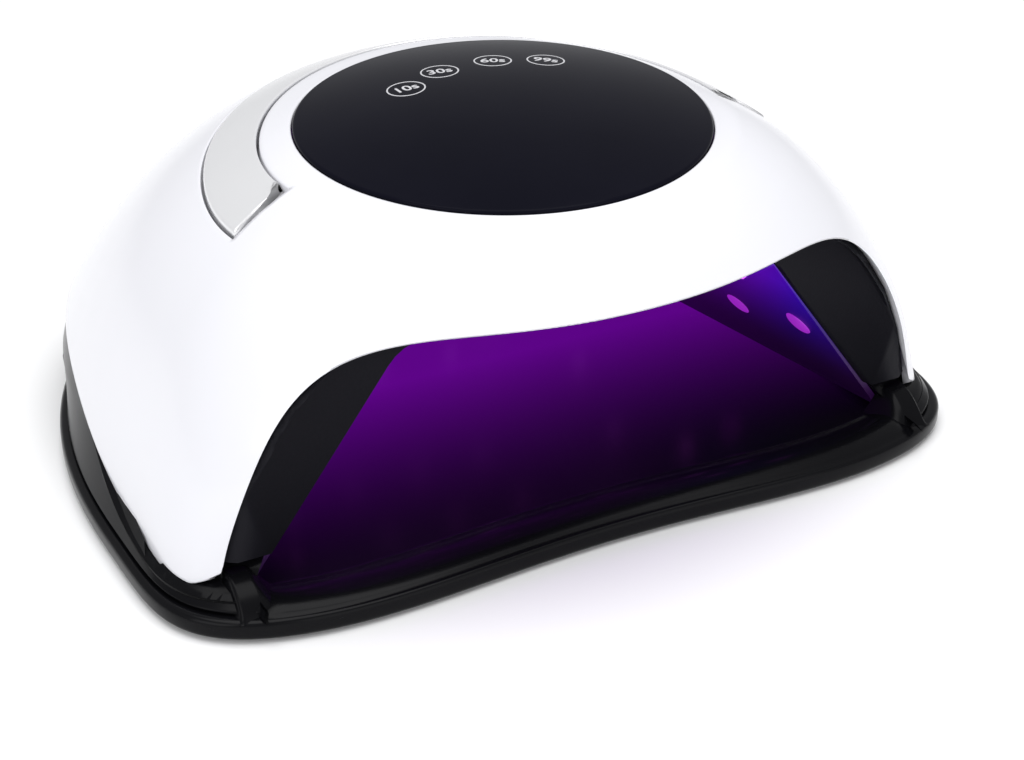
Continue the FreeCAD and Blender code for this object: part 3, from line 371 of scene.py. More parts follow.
# %% Trimmed edge of the dome
EDGE_FRONT_Z, EDGE_RISE, EDGE_STEP_Y, EDGE_STEP_LENGTH = 0.0088, 0.0225, -0.0035, 0.0174
TIP_ROUND, TIP_Y = 0.0143, -0.080
ARCH_HALF, ARCH_TOP_Z, ARCH_FOOT_Z, ARCH_POWER, ARCH_ROUND = 0.1040, 0.0751, 0.008, 5.8, 1.206
ARCH_BACK_Y, NO_CUT = -0.045, 1.0


def edge_height(y):
    """Side edge: a step z = front + rise / (1 + exp(-(y - y0) / length)), rounded up at the tips."""
    plain = EDGE_FRONT_Z + EDGE_RISE * (0.5 + 0.5 * np.tanh((y - EDGE_STEP_Y) / (2 * EDGE_STEP_LENGTH)))
    ahead = np.clip((TIP_Y + TIP_ROUND) - y, 0, TIP_ROUND)
    return plain + TIP_ROUND - np.sqrt(TIP_ROUND**2 - ahead**2)


def arch_height(x):
    """Arch over the hand: z = foot + rise * (1 - |x/a|^k)^(1/j)."""
    across = np.minimum(np.abs(x) / ARCH_HALF, 1)
    return ARCH_FOOT_Z + (ARCH_TOP_Z - ARCH_FOOT_Z) * (1 - across**ARCH_POWER) ** (1 / ARCH_ROUND)


def over_cut(points):
    """Height of a skin point over the nearer cut: negative where the cover is cut away."""
    x, y, z = points[..., 0], points[..., 1], points[..., 2]
    arch = np.where(y < ARCH_BACK_Y, z - arch_height(x), NO_CUT)
    return np.minimum(z - edge_height(y), arch)


def edge_share(angle, inset=0.0):
    """Height share of the trimmed edge in each direction."""
    shares = np.linspace(0.95, 0.0, 240)
    grid = skin_by_share(angle[None, :], shares[:, None], inset)
    cut = over_cut(grid) < 0
    first = np.where(cut.any(axis=0), cut.argmax(axis=0), len(shares) - 1)
    low, high = shares[first], shares[np.maximum(first - 1, 0)]
    return bisect(lambda v: over_cut(skin_by_share(angle, v, inset)), low, high, 24)


print("arch", ARCH_TOP_Z, "m high; side edge from", EDGE_FRONT_Z, "to", round(EDGE_FRONT_Z + EDGE_RISE, 4))

# %% [markdown]
# ## White cover
#
# The real cover is one injection-moulded shell with a gloss finish. Its skin is laid out in
# directions round the panel's axis: an inner ring round the panel, the channel that takes the
# handle, and the flank down to the trimmed edge. Each lip gets a small round, because a moulded
# edge never ends knife-sharp and the round is what catches the light.

# %% Directions round the axis
CHANNEL_IN, CHANNEL_OUT = 0.0635, 0.0790
CHANNEL_DEPTH = 0.0036
CHANNEL_END_Y = -0.0349
OPENING, COLLAR_Z = 0.0551, 0.0951
END_BLEND = 14


def spread(stops):
    """Directions in degrees from a list of (start, end, count)."""
    return np.concatenate([np.linspace(a, b, n, endpoint=False) for a, b, n in stops])


def end_direction(radius, end_y):
    """Direction in which a circle round the panel's axis reaches y = end_y, on the right."""
    return np.arcsin((end_y - PANEL_Y) / radius)


end_angle = math.degrees(end_direction((CHANNEL_IN + CHANNEL_OUT) / 2, CHANNEL_END_Y))
rear_half = spread([(end_angle + 0.001, end_angle + 6, 8), (end_angle + 6, 90, 46)])
front_stops = [(-90, -58, 22), (-58, -42, 20), (-42, -21, 100), (-21, -12, 12), (-12, end_angle - 0.001, 8)]
front_half = spread(front_stops)
right_side = np.concatenate([front_half, [end_angle - 0.001], rear_half])
degrees = np.concatenate([right_side, [90], 180 - right_side[:0:-1]])
angles = np.radians(degrees)
# In front the rings are drawn in towards the opening, which leaves room for the arch.
squeeze = 1 - 0.36 * np.clip((-np.sin(angles) - 0.2) / 0.8, 0, 1)
in_channel = np.sin(angles) > math.sin(math.radians(end_angle))
print(len(angles), "directions,", int(in_channel.sum()), "of them over the channel")


def bent(radius):
    """Directions at a radius, bent near the channel's ends so that these ends are straight."""
    limited = min(max(radius, CHANNEL_IN), CHANNEL_OUT)
    shift = float(end_direction(limited, CHANNEL_END_Y)) - math.radians(end_angle)
    right_weight = np.clip(1 - np.abs(degrees - end_angle) / END_BLEND, 0, 1)
    left_weight = np.clip(1 - np.abs(degrees - (180 - end_angle)) / END_BLEND, 0, 1)
    return angles + shift * right_weight - shift * left_weight


def collar(row, radius):
    """Skin near the opening led level: its height there moves to COLLAR_Z and fades out at the channel."""
    c, s = np.cos(angles), np.sin(angles)
    level = COLLAR_Z - skin_over(OPENING * c, PANEL_Y + OPENING * s)[:, 2]
    share = np.clip((radius - OPENING) / (CHANNEL_IN - OPENING), 0, 1)
    row[:, 2] += level * (1 - share * share * (3 - 2 * share))
    return row


def circle_row(radius, inset=0.0, sink=0.0):
    """Points on the skin above a circle round the panel's axis, sunk straight down by sink."""
    direction = bent(radius)
    reach = OPENING + (radius - OPENING) * squeeze
    row = collar(skin_over(reach * np.cos(direction), PANEL_Y + reach * np.sin(direction), inset), radius)
    row[:, 2] -= sink
    return row


# %% [markdown]
# ### The moulded shell
#
# A real shell has a wall of a bit over two millimetres. Only what can be seen of it is drawn: the
# skin with its channel, the rolled lower edge, and a strip of the inner wall behind that edge.

# %% Cover
LIP, COVER_WALL, RING_MARGIN, FLANK_MARGIN, INNER_STRIP = 0.0005, 0.0022, 0.0015, 0.0012, 0.06


def lip_rows(radius, outward):
    """Three rows that round the lip of a wall at a radius; outward is +1 or -1 towards the skin."""
    return [(radius + outward * LIP, 0.0), (radius + outward * 0.3 * LIP, 0.3 * LIP), (radius, LIP)]


def build_cover():
    """Skin rows from the panel's opening outwards and down to the rolled edge."""
    rows = [circle_row(OPENING, sink=COVER_WALL)]
    rows += [circle_row(r, sink=s) for r, s in reversed(lip_rows(OPENING, 1))]
    rows += [circle_row(r) for r in np.linspace(OPENING + RING_MARGIN, CHANNEL_IN - RING_MARGIN, 5)]

    def channel_row(radius, inset, sink):
        """Row that lies on the channel's wall or floor behind, and on the plain skin in front."""
        low, plain = circle_row(radius, inset, sink), circle_row(radius)
        return np.where(in_channel[:, None], low, plain)

    rows += [channel_row(r, 0.0, s) for r, s in lip_rows(CHANNEL_IN, -1)]
    rows += [channel_row(r, CHANNEL_DEPTH, 0.0) for r in np.linspace(CHANNEL_IN, CHANNEL_OUT, 5)]
    rows += [channel_row(r, 0.0, s) for r, s in reversed(lip_rows(CHANNEL_OUT, 1))]
    direction = bent(CHANNEL_OUT)
    outer = OPENING + (CHANNEL_OUT + FLANK_MARGIN - OPENING) * squeeze
    start = share_over(outer * np.cos(direction), PANEL_Y + outer * np.sin(direction))
    stop = edge_share(direction)
    for fraction in np.linspace(0, 1, 44)[:-1]:
        rows.append(skin_by_share(direction, start + (stop - start) * fraction))
    edge = skin_by_share(direction, stop)
    inner_stop = edge_share(direction, COVER_WALL)
    inner = skin_by_share(direction, inner_stop, COVER_WALL)
    inward = inner - edge
    inward /= np.linalg.norm(inward, axis=1, keepdims=True)
    before = rows[-1] - edge
    before /= np.linalg.norm(before, axis=1, keepdims=True)
    rows += [edge + before * LIP, edge + (before + inward) * 0.25 * LIP, edge + inward * LIP, inner]
    rows.append(skin_by_share(direction, inner_stop + INNER_STRIP, COVER_WALL))
    return grid_piece("cover_shell", np.stack(rows)[::-1], closed=True)


cover = build_cover()
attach(cover, "lamp")
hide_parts("top_cover")
print("cover", len(cover.data.polygons), "faces")

# %% [markdown]
# ## Carry handle
#
# The handle is a flat bow that follows the dome, plated silver on top. Its section is a rounded bar;
# carried along the bow it makes one closed skin, and its two ends are cut back about the pivot, to
# leave them room to turn in their wells.

# %% Handle
HANDLE_IN, HANDLE_OUT, HANDLE_END_Y = 0.0642, 0.0783, -0.0342
HANDLE_PROUD, HANDLE_SKIN, HANDLE_ROUND = 0.0005, 0.0015, 0.0006
PIVOT_Y, PIVOT_Z, NOSE_RADIUS = -0.0292, 0.0865, 0.0050


def round_ends(points):
    """Ends kept within the nose's radius about the pivot, above the pivot's height."""
    y, z = points[..., 1], points[..., 2]
    allowed = PIVOT_Y - np.sqrt(np.maximum(NOSE_RADIUS**2 - np.maximum(z - PIVOT_Z, 0) ** 2, 0))
    points = points.copy()
    points[..., 1] = np.maximum(y, allowed)
    return points


def build_handle():
    """Rounded bar (radius, inset) carried along the bow from its right end to its left one."""
    soft = HANDLE_ROUND
    low, high = HANDLE_SKIN - HANDLE_PROUD, -HANDLE_PROUD
    quarter = np.linspace(0, math.pi / 2, 5)
    bar = [(HANDLE_IN, low)]
    bar += [(HANDLE_IN + soft - soft * math.cos(a), high + soft - soft * math.sin(a)) for a in quarter]
    bar += [(r, high) for r in np.linspace(HANDLE_IN + 2 * soft, HANDLE_OUT - 2 * soft, 7)]
    bar += [(HANDLE_OUT - soft + soft * math.sin(a), high + soft - soft * math.cos(a)) for a in quarter]
    bar += [(HANDLE_OUT, low), ((HANDLE_IN + HANDLE_OUT) / 2, low)]
    columns = []
    for radius, inset in bar:
        first = float(end_direction(radius, HANDLE_END_Y))
        direction = first + np.linspace(0, 1, 150) * (math.pi - 2 * first)
        x, y = radius * np.cos(direction), PANEL_Y + radius * np.sin(direction)
        columns.append(skin_over(x, y, inset))
    points = round_ends(np.stack(columns, axis=1))
    first_middle, last_middle = (np.tile(points[end].mean(axis=0), (1, len(bar), 1)) for end in (0, -1))
    points = np.concatenate([first_middle, points, last_middle])
    return grid_piece("handle_bow", points[::-1], closed=True)


handle = build_handle()
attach(handle, "handle")
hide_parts("handle_plate")
print("handle", len(handle.data.polygons), "faces")

# %% [markdown]
# ## Touch panel
#
# A shallow dome of black acrylic with a narrow rounded rim. It is round, so one profile turned about
# its own axis gives the whole piece, with its rows close together at the rim, where light runs along.

# %% Panel
PANEL_RADIUS, PANEL_RIM, PANEL_CROWN, PANEL_SEAT = 0.0548, 0.0957, 0.102, 0.092
CAP_RISE = PANEL_CROWN - PANEL_RIM
CAP_BALL = (CAP_RISE**2 + PANEL_RADIUS**2) / (2 * CAP_RISE)


def cap_height(radius):
    """Height of the cap, a sphere's top, at a radius from the panel's axis."""
    return PANEL_CROWN - CAP_BALL + np.sqrt(CAP_BALL**2 - radius**2)


def build_panel():
    """Profile (radius, z) turned about the axis, from the foot over the rim to the crown."""
    soft = 0.0009
    shoulder = PANEL_RADIUS - soft
    top = float(cap_height(shoulder))
    profile = [(PANEL_RADIUS - 0.002, PANEL_SEAT), (PANEL_RADIUS, PANEL_SEAT), (PANEL_RADIUS, top - soft)]
    rim_turn = np.linspace(0.2, 1.45, 7)
    profile += [(shoulder + soft * math.cos(a), top - soft + soft * math.sin(a)) for a in rim_turn]
    profile += [(r, float(cap_height(r))) for r in np.linspace(shoulder - 0.0004, 0.0, 40)]
    radius, height = np.array(profile).T
    turn = np.linspace(0, 2 * math.pi, 180, endpoint=False)
    points = np.stack(
        [
            radius[:, None] * np.cos(turn),
            PANEL_Y + radius[:, None] * np.sin(turn),
            np.repeat(height[:, None], len(turn), axis=1),
        ],
        axis=-1,
    )
    return grid_piece("panel_cap", points, closed=True)


panel = build_panel()
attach(panel, "lamp")
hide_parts("touch_panel")
print("panel", len(panel.data.polygons), "faces, cap from a ball of radius", round(CAP_BALL, 3))

# %% [markdown]
# ### Printed marks
#
# Four timer marks are printed on the panel: fine rings round their seconds, on an arc of their own.
# Printing has almost no height, so the marks are bands a few hundredths of a millimetre proud, laid
# on the same cap. A number leans half as far as its place on the arc, less a turn that all share.

# %% Printed timer marks
MARK_ARC_X, MARK_ARC_Y, MARK_ARC_RADIUS = 0.0042, -0.0108, 0.0378
MARK_TURNS = {"10s": 37, "30s": 15, "60s": -10, "99s": -32}
MARK_RADIUS, MARK_LINE, PRINT_HEIGHT, PRINT_SINK = 0.0050, 0.00042, 0.00004, 0.0001
WORD_SIZE, WORD_SPREAD, WORD_LEAN, WORD_TURN = 0.0050, 0.00008, 0.5, -19


def mark_centre(degrees):
    """Place on the arc of marks, turned from straight behind; left is positive."""
    a = math.radians(degrees)
    return MARK_ARC_X - MARK_ARC_RADIUS * math.sin(a), MARK_ARC_Y + MARK_ARC_RADIUS * math.cos(a)


def on_cap(x, y, lift):
    """Points of the plan about the panel's axis, laid on the cap."""
    return np.stack([x, PANEL_Y + y, cap_height(np.hypot(x, y)) + lift], axis=-1)


def build_ring(name, centre):
    """Flat band between two circles, laid on the cap: inner edge, two tops and outer edge."""
    turn = np.linspace(0, 2 * math.pi, 96, endpoint=False)
    rows = []
    half = MARK_LINE / 2
    band = [(-half, -PRINT_SINK), (-half, PRINT_HEIGHT), (half, PRINT_HEIGHT), (half, -PRINT_SINK)]
    for side, lift in band:
        radius = MARK_RADIUS + side
        rows.append(on_cap(centre[0] + radius * np.cos(turn), centre[1] + radius * np.sin(turn), lift))
    return grid_piece(name, np.stack(rows)[::-1], closed=True, merge=False)


def build_word(name, word, centre, turned):
    """Number as thin raised print: a text curve made a mesh, turned and laid on the cap."""
    curve = bpy.data.curves.new(name, "FONT")
    curve.body, curve.size = word, WORD_SIZE
    curve.align_x = curve.align_y = "CENTER"
    curve.extrude, curve.offset = PRINT_HEIGHT, WORD_SPREAD
    text = add_piece(name, curve)
    bpy.context.view_layer.update()
    mesh = bpy.data.meshes.new_from_object(text.evaluated_get(bpy.context.evaluated_depsgraph_get()))
    bpy.data.objects.remove(text)
    x, y, z = corners(mesh).T
    c, s = math.cos(turned), math.sin(turned)
    move_corners(mesh, on_cap(centre[0] + c * x - s * y, centre[1] + s * x + c * y, z))
    return add_piece(name, mesh)


marks = []
for seconds, degrees_turned in MARK_TURNS.items():
    centre = mark_centre(degrees_turned)
    marks.append(build_ring(f"mark_ring_{seconds}", centre))
    turned = math.radians(WORD_LEAN * degrees_turned + WORD_TURN)
    marks.append(build_word(f"mark_{seconds}", seconds, centre, turned))
for mark in marks:
    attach(mark, "lamp")
print(len(marks), "printed marks")

# %% [markdown]
# ## Tray
#
# The tray is moulded in gloss black. Its edge profile, with a rounded foot and a rounded top, is
# carried round the footprint, and the floor closes it. Between the toes the front edge swells into
# a low lip that the wrist rests on, so the top rows are lifted there by a smooth hump.

# %% Tray
BASE_HALF, BASE_Y, BASE_FRONT, BASE_REAR = 0.1186, -0.037, 0.0593, 0.1399
BASE_FRONT_POWER, BASE_REAR_POWER = 4.6, 2.3
HOLLOW, HOLLOW_HALF = 0.0044, 0.085
TRAY_LOW, TRAY_TOP, TRAY_ROUND = 0.0010, 0.0066, 0.0016
LIP_WIDTH, LIP_RISE, LIP_HALF, LIP_FADE, LIP_LEAN = 0.015, 0.0024, 0.0985, 0.006, 0.8
DEEPEST_ROW = 0.055


def front_bow(x):
    """How far the front edge bows back: depth * cos(pi/2 * x/half)^2."""
    return HOLLOW * np.cos(math.pi / 2 * np.clip(x / HOLLOW_HALF, -1, 1)) ** 2


def footprint(angle, inset):
    """Squared oval of the tray's outline, pulled in by inset; its front edge bows back."""
    c, s = np.cos(angle), np.sin(angle)
    b = np.where(s < 0, BASE_FRONT - inset, BASE_REAR - inset)
    power = np.where(s < 0, BASE_FRONT_POWER, BASE_REAR_POWER)
    radius = (np.abs(c / (BASE_HALF - inset)) ** power + np.abs(s / b) ** power) ** (-1 / power)
    x, y = radius * c, BASE_Y + radius * s
    return x, np.where(s < 0, y + front_bow(x), y)


def front_lip(x, y):
    """Height of the front lip over the tray: an arch over y, fading out at the toes."""
    across = np.minimum(np.abs(x / BASE_HALF), 1)
    reach = BASE_FRONT * (1 - across**BASE_FRONT_POWER) ** (1 / BASE_FRONT_POWER)
    front = BASE_Y - reach + front_bow(x) + TRAY_ROUND
    along = np.clip((y - front) / LIP_WIDTH, 0, 1)
    hump = np.sin(math.pi * along**LIP_LEAN)
    fade = np.clip((LIP_HALF - np.abs(x)) / LIP_FADE, 0, 1)
    return np.where(y < BASE_Y, LIP_RISE * hump * fade, 0)


def build_tray():
    """Edge profile carried round the footprint, from the underside over the edge to the middle."""
    angle = np.linspace(0, 2 * math.pi, 560, endpoint=False)
    quarter = np.linspace(0, math.pi / 2, 6)
    r = TRAY_ROUND
    profile = [(0.100, TRAY_LOW), (0.03, TRAY_LOW)]
    profile += [(r - r * math.sin(a), TRAY_LOW + r - r * math.cos(a)) for a in quarter]
    profile += [(r - r * math.cos(a), TRAY_TOP - r + r * math.sin(a)) for a in quarter]
    rows = []
    for inset, z in profile:
        x, y = footprint(angle, inset) if inset < DEEPEST_ROW else (0 * angle, BASE_Y + 0 * angle)
        rows.append(np.stack([x, y, z + 0 * x], axis=1))
    for inset in np.concatenate([np.linspace(0.0022, 0.018, 26), np.linspace(0.022, 0.052, 8)]):
        x, y = footprint(angle, inset)
        rows.append(np.stack([x, y, TRAY_TOP + front_lip(x, y)], axis=1))
    rows.append(np.stack([0 * angle, BASE_Y + 0 * angle, TRAY_TOP + 0 * angle], axis=1))
    return grid_piece("tray_shell", np.stack(rows), closed=True)


tray = build_tray()
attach(tray, "tray")
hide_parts("base_tray")
print("tray", len(tray.data.polygons), "faces")

# %% [markdown]
# ## Skirt of the frame
#
# Between tray and cover runs the frame's gloss black skirt. Its foot follows the tray's outline, its
# top the dome's, and the wall between is a straight blend from one to the other. The toes in front
# end where the hand cavity begins, so every row stops at the cavity's slanted side. The rear, with
# its vents and inlet, shows the frame's own copy, and the skirt dips under it there.

# %% Frame skirt
FRAME_LOW, SHOULDER_Z, FRAME_INSET, TOE_Y = 0.0074, 0.0195, 0.0025, -0.0785
CAVITY_FOOT, CAVITY_SLOPE, CAVITY_BACK_Y = 0.0977, 0.714, -0.06
SKIRT_FROM, SKIRT_SEAM, SEAM_WIDTH = math.radians(-70), 0.115, 0.03
SKIRT_UNDER, SKIRT_OVER, SKIRT_GAP, BLUNTEST = 0.0006, 0.0003, 0.0007, 2.95
SKIRT_ROUND, FOOT_LEDGE, TOP_LEDGE, HAIR, HAIR_RISE = 0.0005, 0.0049, 0.0100, 0.00005, 0.00003


def shoulder_point(angle, z, inset):
    """Skirt above its shoulder: just inside the dome's section at that height, with blunter toes."""
    c, s = np.cos(angle), np.sin(angle)
    scale, _, _, back_power = section(np.maximum(z - FOOT_Z, 0) / (APEX_Z - FOOT_Z))
    gap = SKIRT_GAP + inset
    half = SKIN["half"] * scale - gap
    reach = np.where(s < 0, CENTRE_Y - TOE_Y - inset, SKIN["rear"] * scale - gap)
    power = np.where(s < 0, BASE_FRONT_POWER, np.minimum(back_power, BLUNTEST))
    radius = (np.abs(c / half) ** power + np.abs(s / reach) ** power) ** (-1 / power)
    return radius * c, CENTRE_Y + radius * s


def skirt_point(angle, z, inset):
    """Straight blend from the foot's outline up to the shoulder, and the dome's form above it."""
    x0, y0 = footprint(angle, FRAME_INSET + inset)
    x1, y1 = shoulder_point(angle, np.maximum(z, SHOULDER_Z), inset)
    blend = np.clip((z - FRAME_LOW) / (SHOULDER_Z - FRAME_LOW), 0, 1)
    return x0 + (x1 - x0) * blend, y0 + (y1 - y0) * blend


def skirt_row(share, inset, lift=0.0):
    """One row of the skirt at a share of the height from its foot to the cover's edge.

    At the sides the row lies over the frame's copy, and behind, past the seam, under it. The cover's
    edge gives the height for a place and the skirt the place for a height, so four rounds settle both.
    """
    t = np.linspace(0, 1, 420)
    angle = SKIRT_FROM + (math.pi - 2 * SKIRT_FROM) * t
    aside = np.clip((np.abs(t - 0.5) - SKIRT_SEAM) / SEAM_WIDTH, 0, 1)
    inset = inset + SKIRT_UNDER * (1 - aside) - SKIRT_OVER * aside
    x, y = skirt_point(angle, FRAME_LOW + 0 * angle, inset)
    for _ in range(4):
        edge = edge_height(np.maximum(y, TIP_Y + TIP_ROUND))
        z = FRAME_LOW + lift + (edge - FRAME_LOW) * share
        x, y = skirt_point(angle, z, inset)
    end = CAVITY_FOOT - (z - FRAME_LOW) * CAVITY_SLOPE
    front = (y < CAVITY_BACK_Y) & (np.abs(x) < end)
    x = np.where(front, np.sign(x) * end, x)
    return np.stack([x, y, z], axis=1)


def build_skirt():
    """Rows from the inner foot over the outer face to the ledge under the cover's edge."""
    soft = SKIRT_ROUND
    rows = [skirt_row(0.0, FOOT_LEDGE), skirt_row(0.0, soft)]
    rows += [skirt_row(0.0, 0.15 * soft, 0.3 * soft), skirt_row(0.0, -HAIR, soft)]
    rows += [skirt_row(share, -HAIR, soft * (1 - share)) for share in np.linspace(0.06, 0.93, 16)]
    rows += [skirt_row(1.0, -HAIR, -soft), skirt_row(1.0, 0.2 * soft, -0.2 * soft)]
    rows += [skirt_row(1.0, soft, HAIR_RISE)]
    rows += [skirt_row(1.0, FOOT_LEDGE, HAIR_RISE), skirt_row(1.0, TOP_LEDGE, HAIR_RISE)]
    return grid_piece("skirt_face", np.stack(rows))


skirt = build_skirt()
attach(skirt, "lamp")
print("skirt", len(skirt.data.polygons), "faces")

# %% [markdown]
# ### Toe ramps
#
# At each toe the bezel's foot runs out over the tray in a short glossy slope. It is a height over a
# small rectangle, eased to nothing at its sides and in front.

# %% Toe ramps
RAMP_IN, RAMP_OUT, RAMP_BACK_Y, RAMP_FRONT_Y = 0.0885, 0.1030, -0.0745, -0.0880
RAMP_LOW, RAMP_RISE = 0.0060, 0.0080
RAMP_EASE_IN, RAMP_EASE_OUT, RAMP_RUN = 0.55, 0.12, 0.9


def build_ramp(side):
    """Slope down from the bezel's foot: rise * f * (2 - f) with f falling from 1 to 0 along v."""
    u, v = np.meshgrid(np.linspace(0, 1, 40), np.linspace(0, 1, 24))
    slope = np.clip(u / RAMP_EASE_IN, 0, 1) * np.clip((1 - u) / RAMP_EASE_OUT, 0, 1)
    slope = slope * slope * (3 - 2 * slope)
    fall = np.clip((1 - v) / RAMP_RUN, 0, 1)
    z = RAMP_LOW + RAMP_RISE * slope * fall * (2 - fall)
    x = side * (RAMP_IN + (RAMP_OUT - RAMP_IN) * u)
    y = RAMP_BACK_Y + (RAMP_FRONT_Y - RAMP_BACK_Y) * v
    points = np.stack([x, y, z], axis=-1)
    return grid_piece("toe_ramp_" + ("right" if side > 0 else "left"), points if side < 0 else points[::-1])


ramps = [build_ramp(side) for side in (-1, 1)]
for ramp in ramps:
    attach(ramp, "lamp")
print(len(ramps), "toe ramps")

# %% [markdown]
# ## Frame, bezel, reflector and the handle's back
#
# These four keep their engineered meshes, which are loose triangles. A merged copy stands in for
# each: shared corners let the shading run smoothly over the curved walls while real edges stay crisp.
# What touches the skin is then led from the engineered dome to the finished one, by the difference
# between the two formulas. The reflector lies deep inside and stays as it is.

# %% Merged copies
copies = {
    "lower_frame": ("frame_skirt", "lamp", "frame_black", 28),
    "front_bezel": ("mouth_bezel", "lamp", "bezel_black", 30),
    "reflector": ("cavity_lining", "lamp", "reflector_silver", 30),
    "handle_core": ("handle_back", "handle", "handle_core_grey", 35),
}
merged = {}
TOP_SHARE = 0.97
NEAR_FROM, NEAR_WIDTH, LEAD_RISE = 0.84, 0.10, 0.008
BEHIND_SKIRT, BEHIND_FROM, BEHIND_FADE, INTO_WALL = 0.010, 42, 4, 0.010
HIDDEN_FROM, HIDDEN_ASIDE, HIDDEN_FRONT_Y, HIDDEN_LOW = 0.955, 47, -0.062, 0.0076


def oval_radius(direction, share, form):
    """Radius of the form's section about the dome's centre line, in a direction."""
    c, s = np.cos(direction), np.sin(direction)
    scale, reach, front_power, rear_power = section(share, form)
    b = np.where(s < 0, reach, form["rear"]) * scale
    power = np.where(s < 0, front_power, rear_power)
    return (np.abs(c / (form["half"] * scale)) ** power + np.abs(s / b) ** power) ** (-1 / power)


def height_share(z):
    """Height share of the dome, kept below its crown."""
    return np.clip((z - FOOT_Z) / (APEX_Z - FOOT_Z), 0.0, TOP_SHARE)


def degrees_from_rear(x, y):
    """Turn away from straight behind, the same to the left and to the right."""
    return np.abs((np.degrees(np.arctan2(y - CENTRE_Y, x)) + 90) % 360 - 180)


def lead_outwards(points, extra):
    """Points near the engineered skin moved level to the finished skin; those deep inside stay.

    extra moves them further: out into the cover's wall, or in behind the skirt's face.
    """
    x, y, z = points.T
    share = height_share(z)
    direction, radius = np.arctan2(y - CENTRE_Y, x), np.hypot(x, y - CENTRE_Y)
    old, new = oval_radius(direction, share, ENGINEERED), oval_radius(direction, share, SKIN)
    near = np.clip((radius / old - NEAR_FROM) / NEAR_WIDTH, 0, 1) * np.clip((z - FRAME_LOW) / LEAD_RISE, 0, 1)
    factor = 1 + (new / old - 1 + extra) * near * near * (3 - 2 * near)
    return np.stack([x * factor, CENTRE_Y + (y - CENTRE_Y) * factor, z], axis=1)


def lead_frame(points):
    """The frame is led outwards, but stays a little behind the skirt's face, except in the rear."""
    aside = degrees_from_rear(points[:, 0], points[:, 1])
    return lead_outwards(points, -BEHIND_SKIRT * np.clip((aside - BEHIND_FROM) / BEHIND_FADE, 0, 1))


def lead_bezel(points):
    """The bezel is led outwards until its rim ends inside the cover's wall."""
    return lead_outwards(points, INTO_WALL)


def drop_hidden(piece):
    """Remove the frame's outer faces at the sides, which the skirt and the cover hide."""
    x, y, z = corners(piece.data).T
    limit = HIDDEN_FROM * oval_radius(np.arctan2(y - CENTRE_Y, x), height_share(z), SKIN)
    outer = (np.hypot(x, y - CENTRE_Y) > limit) & (degrees_from_rear(x, y) > HIDDEN_ASIDE)
    hidden = outer & (y > HIDDEN_FRONT_Y) & (z > HIDDEN_LOW)
    tidy = bmesh.new()
    tidy.from_mesh(piece.data)
    doomed = [face for face in tidy.faces if all(hidden[corner.index] for corner in face.verts)]
    bmesh.ops.delete(tidy, geom=doomed, context="FACES")
    tidy.to_mesh(piece.data)
    tidy.free()
    print("frame", len(doomed), "hidden faces left out")


def lead_upwards(points):
    """Points of the handle's back moved straight up or down by the skins' difference above them."""
    x, y, z = points.T
    share = share_over(x, y) - share_over(x, y, form=ENGINEERED)
    return np.stack([x, y, z + share * (APEX_Z - FOOT_Z)], axis=1)


leads = {"lower_frame": lead_frame, "front_bezel": lead_bezel, "handle_core": lead_upwards}
for node, (name, body, slot, angle) in copies.items():
    merged[node] = smooth_copy(node, name, angle)
    if node in leads:
        move_corners(merged[node].data, leads[node](corners(merged[node].data)))
    if node == "lower_frame":
        drop_hidden(merged[node])
    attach(merged[node], body)
    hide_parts(node)
    print(name, len(merged[node].data.polygons), "faces")

# %% [markdown]
# ### Side beads
#
# Each slanted side wall shows two more lenses near the mouth. A lens is a shallow dome that stands
# on the wall, so it is turned about the wall's normal, and the left pair mirrors the right one.

# %% Side beads
WALL_BEADS = [(0.0722, -0.0357, 0.0272), (0.0729, -0.0643, 0.0343)]
WALL_NORMAL = np.array([-0.80, -0.13, -0.585])
WALL_NORMAL /= np.linalg.norm(WALL_NORMAL)
BEAD_RADIUS, BEAD_PROUD = 0.0042, 0.0009


def build_side_bead(name, centre, normal):
    """Shallow dome (radius cos t, height sin t) on a wall, about the wall's normal."""
    first = np.cross(normal, [0, 0, 1.0])
    first /= np.linalg.norm(first)
    second = np.cross(normal, first)
    turn = np.linspace(0, 2 * math.pi, 28, endpoint=False)
    rows = []
    for t in np.linspace(0, math.pi / 2, 7):
        ring = np.outer(np.cos(turn), first) + np.outer(np.sin(turn), second)
        rows.append(centre + BEAD_RADIUS * math.cos(t) * ring + normal * BEAD_PROUD * math.sin(t))
    return grid_piece(name, np.stack(rows), closed=True)


side_beads = []
for side, word in ((-1, "left"), (1, "right")):
    for number, (x, y, z) in enumerate(WALL_BEADS):
        mirrored = WALL_NORMAL * [side, 1, 1]
        side_beads.append(build_side_bead(f"side_bead_{word}_{number}", np.array([side * x, y, z]), mirrored))
for piece in side_beads:
    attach(piece, "lamp")
print(len(side_beads), "side beads")

# %% [markdown]
# ## White gloss
#
# Polished white moulding is not pure white: it leans a little cool, varies by a percent or two where
# the melt cooled unevenly, and shows a very fine waviness in its reflections. A clear coat gives the
# crisp second highlight.

# %% Cover finish
white = Finish("cover_gloss_white", Roughness=0.24, Coat_Roughness=0.05, IOR=1.48)
flow = white.noise(14.0, 3.0)
white.set(Base_Color=white.mix(flow, rgb(0.735, 0.735, 0.772), rgb(0.765, 0.765, 0.798)))
white.set(Coat_Weight=0.5)
white.bump(white.noise(55.0, 2.0), 0.03, 0.0008)
paint(cover, white)
print("painted", cover.name)

# %% [markdown]
# ## Satin silver
#
# The handle's top is plated plastic: a pale metal, brushed so finely that only its gloss varies. Its
# back is the bare grey moulding.

